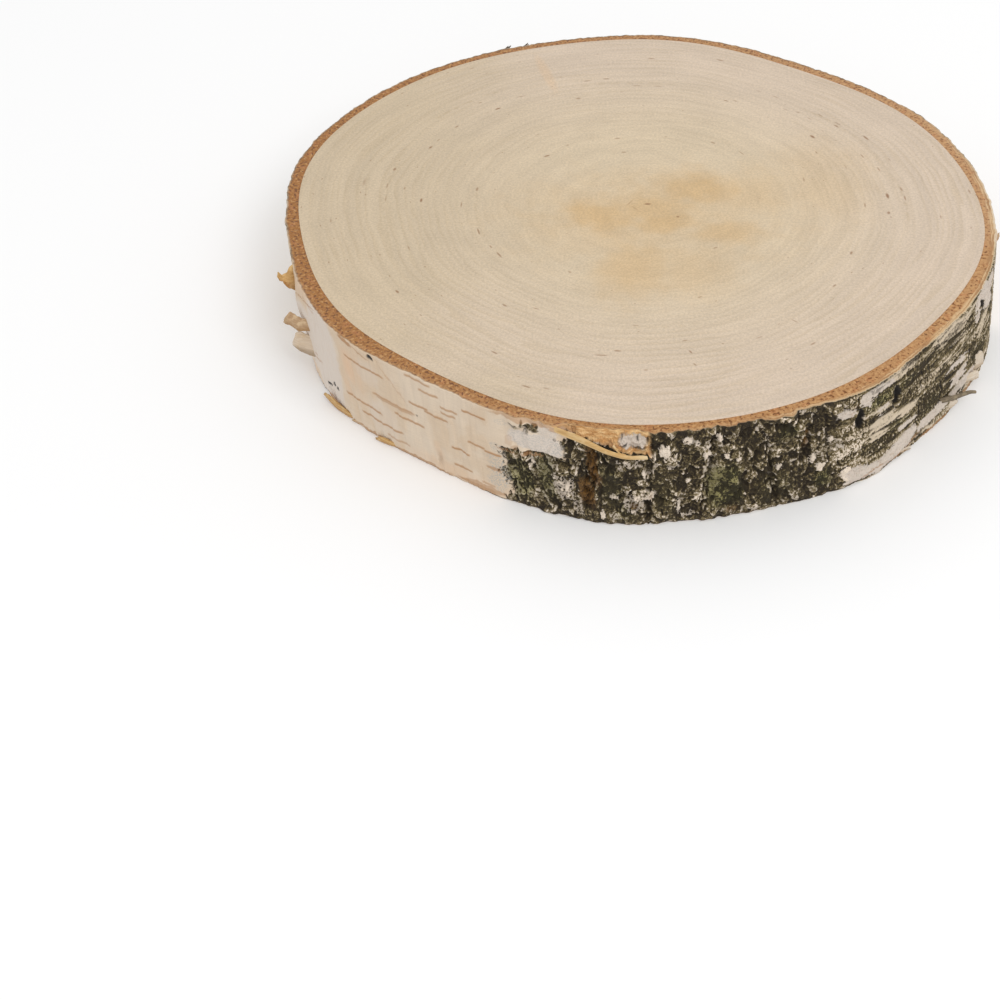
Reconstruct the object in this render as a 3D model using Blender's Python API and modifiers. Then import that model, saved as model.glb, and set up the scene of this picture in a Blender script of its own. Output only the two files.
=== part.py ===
"""Birch wood slice: a sawn disc of birch trunk with its bark still on it.

Metres, +Z up. The slice lies on its sawn underside, and the origin is on that underside, below the middle of the
upper face. Directions round the slice are in degrees, from +X towards +Y, so 270 faces the front. Heights are
measured from the underside.
"""

import math

import bmesh
import bpy
from mathutils import Vector, noise

# The sawn disc
THICKNESS = 0.030
WOOD_RADIUS = 0.0996  # mean, up to the line where the bark begins
# Long waves of the wood's outline: how many go round, their height, the direction of a crest
WOOD_WAVES = (
    (2, 0.0023, 138.0),
    (3, 0.00095, 144.0),
    (4, 0.00105, 0.0),
    (5, 0.00045, 5.0),
    (6, 0.0004, 31.0),
    (8, 0.0005, 349.0),
)
TRUNK_LEAN = Vector((0.002, -0.0006, 0.0))  # how far the underside lies off the upper face
SEAM = 0.0003  # gap between the wood and the bark

# The bark's thickness, with its swells: direction, half width in degrees, extra thickness
BARK = 0.0042
BARK_SWELLS = (
    (216.0, 18.0, 0.0018),
    (252.0, 10.0, 0.0008),
    (267.0, 7.0, 0.0010),
    (305.0, 12.0, 0.0016),
    (334.0, 14.0, 0.0008),
    (75.0, 25.0, 0.0005),
)

# Columns of the mesh round the slice: close together where the bark is rough, wide apart where it is smooth
FINE_FROM = 246.0
FINE_COLUMNS = 122
FINE_STEP = 0.8
WIDE_COLUMNS = 84
COLUMNS = FINE_COLUMNS + WIDE_COLUMNS
WIDE_STEP = (360.0 - FINE_COLUMNS * FINE_STEP) / WIDE_COLUMNS
BARK_ROWS = 15

# Plated bark at the front
PLATES_FROM, PLATES_TO = 250.0, 300.0
PLATES_FADE = 3.0  # degrees
PLATE_WIDTH, PLATE_HEIGHT = 0.0066, 0.0080
PLATE_RISE = 0.0015
PLATE_CRACK = 0.32  # width of a crack as a share of a plate
PLATE_WOBBLE = 0.35  # how far the cracks wander, as a share of a plate
WOBBLE_PITCH = 0.7
PLATE_LOWEST = 0.5  # the lowest plate's height as a share of the highest one's
PLATE_MIDDLE = 0.45  # the share of the rise that lies at the bark's mean surface
PLATE_DRAW = 3.7  # spreads the draw of each plate's own height
NOISE_SEED = 1795978862  # settles how the cracks wander, so that each build gives the same plates
CRUMBLE_REACH = 0.0016  # how far the crumbled rim goes in from each sawn face
CRUMBLE_WIDTH = 0.0021
CRUMBLE_DEPTH = 0.0007
# Upright fissures: direction and height of the top, the same of the foot, half width, depth
FISSURES = (
    (264.4, 0.0235, 262.5, 0.0045, 0.0013, 0.0020),
    (272.4, 0.0300, 271.2, 0.0, 0.0009, 0.0009),
    (281.7, 0.0300, 279.2, 0.0030, 0.0008, 0.0010),
    (288.8, 0.0230, 290.6, 0.0, 0.0009, 0.0010),
    (295.6, 0.0250, 294.6, 0.0130, 0.0012, 0.0014),
)
FISSURE_FADE = 0.1  # share of its length over which a fissure dies out at each end
SOFT_EDGE = 0.55  # how far past its half width a fissure or scar still sinks
# Where the outer bark has torn off under the upper face
TORN_FROM, TORN_TO = 259.5, 271.5
TORN_BELOW = 0.0240
TORN_DEPTH = 0.0016
TORN_FADE = 2.0

# Streaked bark on the right, its ridges running round the trunk
STREAKS_FROM, STREAKS_TO = 301.0, 344.0
STREAKS_FADE = 5.0
STREAK_LENGTH, STREAK_HEIGHT = 0.016, 0.0042
STREAK_RISE = 0.0006
STREAK_FALLOFF, STREAK_PITCH, STREAK_LAYERS = 0.6, 2.0, 3
# Diamond scars: direction, height, half width, half height, depth
SCARS = (
    (303.8, 0.0212, 0.0014, 0.0032, 0.0014),
    (311.2, 0.0214, 0.0014, 0.0032, 0.0014),
    (336.6, 0.0245, 0.0016, 0.0026, 0.0012),
    (38.0, 0.0120, 0.0026, 0.0040, 0.0012),
    (95.0, 0.0160, 0.0060, 0.0034, 0.0012),
    (152.0, 0.0205, 0.0030, 0.0026, 0.0010),
)

# Smooth papery bark everywhere else
PAPER_WAVE = 0.013
PAPER_RISE = 0.0003

# Strips that peel off: direction and the two heights of the root, then of the tip, and how far the tip lifts
PEEL_SUNK = 0.0012
PEEL_THICKNESS = 0.0007
PEEL_CELLS = 6
PEEL_BEND = 1.6  # 1 lifts a peel straight off, more keeps it close to the bark for longer
PEELS = (
    (203.5, 0.0195, 0.0275, 196.6, 0.0262, 0.0282, 0.0040),
    (208.0, 0.0115, 0.0185, 201.6, 0.0135, 0.0185, 0.0052),
    (210.0, 0.0055, 0.0125, 203.6, 0.0055, 0.0105, 0.0042),
    (221.0, 0.0008, 0.0050, 214.6, 0.0010, 0.0034, 0.0026),
    (227.0, 0.0008, 0.0034, 221.0, 0.0008, 0.0020, 0.0018),
    (257.0, 0.0250, 0.0292, 271.8, 0.0226, 0.0236, 0.0017),
    (321.5, 0.0030, 0.0058, 330.2, 0.0035, 0.0047, 0.0064),
    (309.0, 0.0008, 0.0042, 317.0, 0.0008, 0.0024, 0.0012),
    (327.0, 0.0008, 0.0046, 335.5, 0.0008, 0.0028, 0.0016),
    (115.5, 0.0255, 0.0292, 112.4, 0.0266, 0.0294, 0.0026),
    (112.0, 0.0240, 0.0290, 109.4, 0.0262, 0.0292, 0.0018),
    (347.0, 0.0245, 0.0290, 350.8, 0.0260, 0.0288, 0.0014),
    (176.0, 0.0040, 0.0120, 183.0, 0.0050, 0.0095, 0.0030),
    (131.0, 0.0008, 0.0060, 137.5, 0.0010, 0.0036, 0.0022),
)


def smooth(value):
    """Eases a value from 0 to 1, and holds it there outside that range."""
    value = min(max(value, 0.0), 1.0)
    return value * value * (3.0 - 2.0 * value)


def between(value, start, end, fade):
    """1 between two values and 0 outside them, with a soft step at each."""
    return smooth((value - start) / fade + 0.5) * smooth((end - value) / fade + 0.5)


def turn(direction, other):
    """The signed turn in degrees from one direction to another, the short way."""
    return (direction - other + 180.0) % 360.0 - 180.0


def arc(direction):
    """Distance along the bark from direction 0."""
    return math.radians(direction) * (WOOD_RADIUS + BARK)


def wood_radius(direction):
    waves = (
        height * math.cos(math.radians(count * (direction - crest)))
        for count, height, crest in WOOD_WAVES
    )
    return WOOD_RADIUS + sum(waves)


def bark_thickness(direction):
    swells = (
        extra * math.exp(-((turn(direction, centre) / half_width) ** 2))
        for centre, half_width, extra in BARK_SWELLS
    )
    return BARK + sum(swells)


def plates(direction, height):
    """Rough plates with cracks between them."""
    spot = Vector((arc(direction) / PLATE_WIDTH, height / PLATE_HEIGHT, 0.0))
    spot += noise.noise_vector(spot * WOBBLE_PITCH) * PLATE_WOBBLE
    distances, centres = noise.voronoi(spot)
    crack = smooth((distances[1] - distances[0]) / PLATE_CRACK)
    own_height = PLATE_LOWEST + (1.0 - PLATE_LOWEST) * noise.cell(centres[0] * PLATE_DRAW)
    return PLATE_RISE * (crack * own_height - PLATE_MIDDLE)


def crumble(direction, height):
    """Depth of the bits that the saw broke off the rim of the plates."""
    rim = smooth(1.0 - min(height, THICKNESS - height) / CRUMBLE_REACH)
    bits = noise.noise(Vector((arc(direction) / CRUMBLE_WIDTH, height / THICKNESS, 9.0)))
    return CRUMBLE_DEPTH * rim * (0.5 + bits)


def fissures(direction, height):
    """Depth of the upright cracks at a spot."""
    depth = 0.0
    for top_direction, top, foot_direction, foot, half_width, deepest in FISSURES:
        share = (height - foot) / (top - foot)
        if -FISSURE_FADE < share < 1.0 + FISSURE_FADE:
            centre = foot_direction + (top_direction - foot_direction) * share
            off = abs(arc(turn(direction, centre))) / half_width
            ends = between(share, 0.0, 1.0, 2.0 * FISSURE_FADE)
            depth = max(depth, deepest * ends * smooth(1.0 + SOFT_EDGE - off))
    return depth


def torn(direction, height):
    """Depth of the step where the outer bark is missing under the upper face."""
    along = between(direction, TORN_FROM, TORN_TO, TORN_FADE)
    return TORN_DEPTH * along * smooth((height - TORN_BELOW) / (THICKNESS - TORN_BELOW))


def streaks(direction, height):
    spot = Vector((arc(direction) / STREAK_LENGTH, height / STREAK_HEIGHT, 5.0))
    return STREAK_RISE * noise.fractal(spot, STREAK_FALLOFF, STREAK_PITCH, STREAK_LAYERS)


def scars(direction, height):
    depth = 0.0
    for centre, middle, half_width, half_height, deepest in SCARS:
        off = abs(arc(turn(direction, centre))) / half_width + abs(height - middle) / half_height
        depth = max(depth, deepest * smooth(1.0 + SOFT_EDGE - off))
    return depth


def paper(direction, height):
    """Slow waves that close on themselves round the trunk."""
    angle = math.radians(direction)
    reach = WOOD_RADIUS / PAPER_WAVE
    spot = Vector((reach * math.cos(angle), reach * math.sin(angle), height / PAPER_WAVE))
    return PAPER_RISE * noise.noise(spot)


def relief(direction, height):
    """How far the bark stands out of, or sinks below, its mean surface."""
    rough = between(direction, PLATES_FROM, PLATES_TO, PLATES_FADE)
    streaked = between(direction, STREAKS_FROM, STREAKS_TO, STREAKS_FADE)
    raised = paper(direction, height)
    if rough > 0.0:
        raised += rough * (plates(direction, height) - crumble(direction, height))
        raised -= fissures(direction, height) + torn(direction, height)
    if streaked > 0.0:
        raised += streaked * streaks(direction, height)
    return raised - scars(direction, height)


def bark_radius(direction, height):
    return wood_radius(direction) + bark_thickness(direction) + relief(direction, height)


def lean_at(height):
    return TRUNK_LEAN * (1.0 - height / THICKNESS)


def place(direction, radius, height):
    angle = math.radians(direction)
    spot = Vector((radius * math.cos(angle), radius * math.sin(angle), height))
    return spot + lean_at(height)


def column_direction(column):
    if column < FINE_COLUMNS:
        return (FINE_FROM + column * FINE_STEP) % 360.0
    return (FINE_FROM + FINE_COLUMNS * FINE_STEP + (column - FINE_COLUMNS) * WIDE_STEP) % 360.0


def make_collection(name):
    collection = bpy.data.collections.new(name)
    bpy.context.scene.collection.children.link(collection)
    return collection


def make_material(name, colour, roughness):
    material = bpy.data.materials.new(name)
    material.use_nodes = True
    material.diffuse_color = (*colour, 1.0)
    shader = material.node_tree.nodes["Principled BSDF"]
    shader.inputs["Base Color"].default_value = (*colour, 1.0)
    shader.inputs["Roughness"].default_value = roughness
    shader.inputs["Metallic"].default_value = 0.0
    return material


def add_object(name, bm, collection, material=None):
    mesh = bpy.data.meshes.new(name)
    bm.to_mesh(mesh)
    bm.free()
    obj = bpy.data.objects.new(name, mesh)
    collection.objects.link(obj)
    if material:
        mesh.materials.append(material)
    return obj


def make_drum(name, radius_at, low, high, rows, collection, material=None):
    """A capped cylinder whose columns are moved to the radius that a rule gives them."""
    bm = bmesh.new()
    bmesh.ops.create_cone(
        bm, cap_ends=True, segments=COLUMNS, radius1=1.0, radius2=1.0, depth=high - low
    )
    bmesh.ops.translate(bm, verts=bm.verts, vec=(0.0, 0.0, (low + high) / 2.0))
    for row in range(1, rows):
        level = Vector((0.0, 0.0, low + (high - low) * row / rows))
        geometry = [*bm.verts, *bm.edges, *bm.faces]
        bmesh.ops.bisect_plane(bm, geom=geometry, plane_co=level, plane_no=(0.0, 0.0, 1.0))
    for vertex in bm.verts:
        share = math.atan2(vertex.co.y, vertex.co.x) / math.tau
        direction = column_direction(round(share * COLUMNS) % COLUMNS)
        vertex.co = place(direction, radius_at(direction, vertex.co.z), vertex.co.z)
    return add_object(name, bm, collection, material)


def make_peel(name, peel, collection):
    """A strip with its root sunk in the bark, bent outwards to a free tip."""
    root, root_low, root_high, tip, tip_low, tip_high, lift = peel
    bm = bmesh.new()
    bmesh.ops.create_grid(bm, x_segments=PEEL_CELLS, y_segments=2, size=1.0)
    for vertex in bm.verts:
        along = (vertex.co.x + 1.0) / 2.0
        across = (vertex.co.y + 1.0) / 2.0
        direction = root + (tip - root) * along
        low = root_low + (tip_low - root_low) * along
        high = root_high + (tip_high - root_high) * along
        height = low + (high - low) * across
        base = wood_radius(direction) + bark_thickness(direction) - PEEL_SUNK
        vertex.co = place(direction, base + (lift + PEEL_SUNK) * along**PEEL_BEND, height)
    obj = add_object(name, bm, collection)
    wall = obj.modifiers.new("thickness", "SOLIDIFY")
    wall.thickness = PEEL_THICKNESS
    wall.offset = 0.0
    return obj


def join_all(target, collection, modifier_name):
    """Joins a collection's objects to the target with one union, applies it and removes them."""
    join = target.modifiers.new(modifier_name, "BOOLEAN")
    join.operation = "UNION"
    join.operand_type = "COLLECTION"
    join.collection = collection
    join.solver = "EXACT"
    bpy.context.view_layer.objects.active = target
    bpy.ops.object.modifier_apply(modifier=join.name)
    for obj in list(collection.objects):
        bpy.data.objects.remove(obj)
    bpy.data.collections.remove(collection)


def make_wood(collection):
    material = make_material("birch wood", (0.64, 0.53, 0.39), 0.62)
    obj = make_drum(
        "wood",
        lambda direction, height: wood_radius(direction) - SEAM / 2.0,
        0.0,
        THICKNESS,
        1,
        collection,
        material,
    )
    obj.data.shade_smooth()
    obj.data.set_sharp_from_angle(angle=math.radians(40.0))
    return obj


def make_bark(collection, cutters):
    material = make_material("birch bark", (0.42, 0.35, 0.27), 0.85)
    obj = make_drum("bark", bark_radius, 0.0, THICKNESS, BARK_ROWS, collection, material)
    peels = make_collection("peels")
    for number, peel in enumerate(PEELS):
        make_peel(f"peel {number}", peel, peels)
    join_all(obj, peels, "join peels")

    cutter = make_drum(
        "cutter wood",
        lambda direction, height: wood_radius(direction) + SEAM / 2.0,
        -THICKNESS / 3.0,
        THICKNESS * 4.0 / 3.0,
        1,
        cutters,
    )
    cutter.hide_render = True
    cutter.display_type = "WIRE"
    hole = obj.modifiers.new("room for the wood", "BOOLEAN")
    hole.operation = "DIFFERENCE"
    hole.object = cutter
    hole.solver = "EXACT"
    obj.data.shade_smooth()
    obj.data.set_sharp_from_angle(angle=math.radians(40.0))
    return obj


def main():
    for obj in list(bpy.data.objects):
        bpy.data.objects.remove(obj)
    noise.seed_set(NOISE_SEED)
    parts = make_collection("birch wood slice")
    cutters = make_collection("cutters")
    cutters.hide_render = True
    make_wood(parts)
    make_bark(parts, cutters)


main()
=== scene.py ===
import math

import bpy
import numpy as np
from mathutils import Matrix, Vector, noise


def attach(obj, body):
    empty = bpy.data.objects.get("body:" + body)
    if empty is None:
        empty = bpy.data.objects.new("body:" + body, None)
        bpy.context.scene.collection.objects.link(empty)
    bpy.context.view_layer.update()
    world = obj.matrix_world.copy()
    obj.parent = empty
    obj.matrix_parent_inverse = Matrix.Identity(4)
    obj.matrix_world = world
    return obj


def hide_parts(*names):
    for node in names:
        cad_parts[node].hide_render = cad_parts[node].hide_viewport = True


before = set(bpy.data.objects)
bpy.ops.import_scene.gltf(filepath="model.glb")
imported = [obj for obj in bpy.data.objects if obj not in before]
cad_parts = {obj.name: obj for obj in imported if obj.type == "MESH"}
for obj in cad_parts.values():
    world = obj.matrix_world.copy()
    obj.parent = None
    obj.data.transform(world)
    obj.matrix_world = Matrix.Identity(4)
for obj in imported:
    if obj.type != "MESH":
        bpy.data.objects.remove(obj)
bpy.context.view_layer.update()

print("frame loaded:", sorted(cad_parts))

# Millimetres and degrees in the tables below. Directions run from +X towards +Y, so 270 faces the front,
# and heights are measured from the underside.
mm = 0.001

sliceShape = {
    "thickness": 30.0,
    "woodRadius": 99.6,
    "woodWaves": ((2, 2.3, 138), (3, 0.95, 144), (4, 1.05, 0), (5, 0.45, 5), (6, 0.4, 31), (8, 0.5, 349)),
    "lean": (2.0, -0.6),  # how far the underside lies off the upper face
    "pith": (4.2, 0.8),
    "rimCover": 0.26,  # how far the wood's face reaches over the inner edge of the bark
}
barkShape = {
    "thickness": 4.2,
    # direction, half width, extra thickness
    "swells": (
        (216, 18, 1.8),
        (252, 10, 0.8),
        (267, 7, 1.0),
        (305, 12, 1.6),
        (334, 14, 0.8),
        (112, 50, -0.8),
        (353, 11, -0.9),
    ),
    "paperWave": 13.0,
    "paperRise": 0.3,
    "edgeWear": 0.4,
    # folds of the outer paper: direction, height, half width, half height, rise
    "folds": ((201.0, 20.0, 5.0, 8.0, 1.2), (233.0, 12.0, 5.0, 7.0, 0.3), (60.0, 14.0, 8.0, 9.0, 0.5)),
}
thick = sliceShape["thickness"]
roughFrom = 246.0  # directions on the wall are counted from here
noiseSeed = 1795978862  # the solid's own seed, so the large plates lie where its plates do
noise.seed_set(noiseSeed)


def smooth(value):
    value = np.clip(value, 0.0, 1.0)
    return value * value * (3.0 - 2.0 * value)


def between(value, start, end, fade):
    return smooth((value - start) / fade + 0.5) * smooth((end - value) / fade + 0.5)


def turnBetween(direction, other):
    return (direction - other + 180.0) % 360.0 - 180.0


def arcAt(direction):
    return np.radians(direction) * (sliceShape["woodRadius"] + barkShape["thickness"])


def woodRadiusAt(direction):
    radius = np.full(np.shape(direction), sliceShape["woodRadius"])
    for count, height, crest in sliceShape["woodWaves"]:
        radius = radius + height * np.cos(np.radians(count * (direction - crest)))
    return radius


def barkThicknessAt(direction):
    depth = np.full(np.shape(direction), barkShape["thickness"])
    for centre, halfWidth, extra in barkShape["swells"]:
        depth = depth + extra * np.exp(-((turnBetween(direction, centre) / halfWidth) ** 2))
    return depth


def placeAt(direction, radius, height):
    angle = np.radians(direction)
    lean = 1.0 - height / thick
    x = radius * np.cos(angle) + sliceShape["lean"][0] * lean
    y = radius * np.sin(angle) + sliceShape["lean"][1] * lean
    return np.stack([x, y, height], axis=-1) * mm


def noiseAt(x, y, layer):
    spots = zip(np.ravel(x).tolist(), np.ravel(y).tolist())
    return np.fromiter((noise.noise((a, b, layer)) for a, b in spots), float, np.size(x))


def cellsAt(x, y, layer, wobble=0.35, pitch=0.7):
    # Gap between the two nearest cell centres, each cell's own draw, and the way to its centre
    count = np.size(x)
    gap, draw, toX, toY = np.empty(count), np.empty(count), np.empty(count), np.empty(count)
    for index, (a, b) in enumerate(zip(np.ravel(x).tolist(), np.ravel(y).tolist())):
        spot = Vector((a, b, layer))
        spot += noise.noise_vector(spot * pitch) * wobble
        distances, centres = noise.voronoi(spot)
        gap[index] = distances[1] - distances[0]
        draw[index] = noise.cell(centres[0] * 3.7)
        toX[index] = centres[0].x - spot.x
        toY[index] = centres[0].y - spot.y
    return gap, draw, toX, toY


# Rough, plated bark: where it starts at each height, and what stands out of it or is sunk in it
platedBark = {
    "edgeHeights": (0, 5, 10, 15, 18.6, 19.4, 20.3, 20.8, 26.2, 26.8, 30),
    "edgeDirections": (249.6, 251.4, 249.5, 250.5, 249.6, 252.5, 256.5, 259.7, 259.9, 260.6, 260.6),
    "endsAt": 349.0,
    "platesFrom": 250.0,
    "platesTo": 300.0,
    "plateSize": (6.6, 8.0),
    "plateRise": 1.5,
    "plateCrack": 0.32,
    "plateLowest": 0.5,
    "plateMiddle": 0.45,
    "flakeSize": (2.2, 2.8),
    "flakeRise": 0.42,
    "bitSize": (0.8, 0.95),
    "bitRise": 0.22,
    "crumbleReach": 1.6,
    "crumbleWidth": 2.1,
    "crumbleDepth": 0.7,
    # top direction and height, foot direction and height, half width, depth
    "fissures": (
        (264.4, 23.5, 262.5, 4.5, 1.3, 2.0),
        (272.4, 30.0, 271.2, 0.0, 0.9, 0.9),
        (281.7, 30.0, 279.2, 3.0, 0.8, 1.0),
        (288.8, 23.0, 290.6, 0.0, 0.9, 1.0),
        (295.6, 25.0, 294.6, 13.0, 1.2, 1.4),
    ),
}
tornBark = {"from": 259.5, "to": 271.5, "above": 24.0, "depth": 1.6, "fade": 2.0}
streakedBark = {
    "from": 301.0,
    "to": 344.0,
    "fade": 5.0,
    "length": 16.0,
    "height": 4.2,
    "rise": 0.6,
}
# direction, height, half width, half height, depth
scarTable = (
    (303.8, 21.2, 1.4, 3.2, 1.4),
    (311.2, 21.4, 1.4, 3.2, 1.4),
    (336.6, 24.5, 1.6, 2.6, 1.2),
    (38.0, 12.0, 2.6, 4.0, 1.2),
    (95.0, 16.0, 6.0, 3.4, 1.2),
    (152.0, 20.5, 3.0, 2.6, 1.0),
)

# Rough spots outside the rough bark, as direction, height, half width, half height, tilt and strength
roughIslands = (
    (252.4, 27.2, 1.6, 0.4, 0, 0.7),
    (254.4, 27.6, 1.7, 0.8, -4, 1.0),
    (253.8, 28.7, 0.45, 0.9, 0, 1.0),
    (255.7, 27.9, 0.9, 1.2, 0, 1.0),
    (254.2, 26.2, 0.7, 0.4, 0, 0.9),
)
# Grainy spots on the streaked bark, in the same form
granularSpots = (
    (302.6, 15.5, 5.6, 6.5, 0, 1.0),
    (320.0, 10.4, 7.4, 4.6, 0, 1.0),
    (317.6, 19.4, 6.4, 3.2, 0, 0.8),
    (307.8, 24.3, 4.6, 1.9, 0, 1.0),
    (302.0, 28.0, 3.8, 2.2, 0, 0.9),
    (307.0, 8.4, 6.0, 2.2, 0, 0.7),
    (332.0, 24.0, 5.0, 2.6, 0, 0.8),
    (336.5, 15.0, 7.0, 5.5, 0, 0.6),
)
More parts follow.
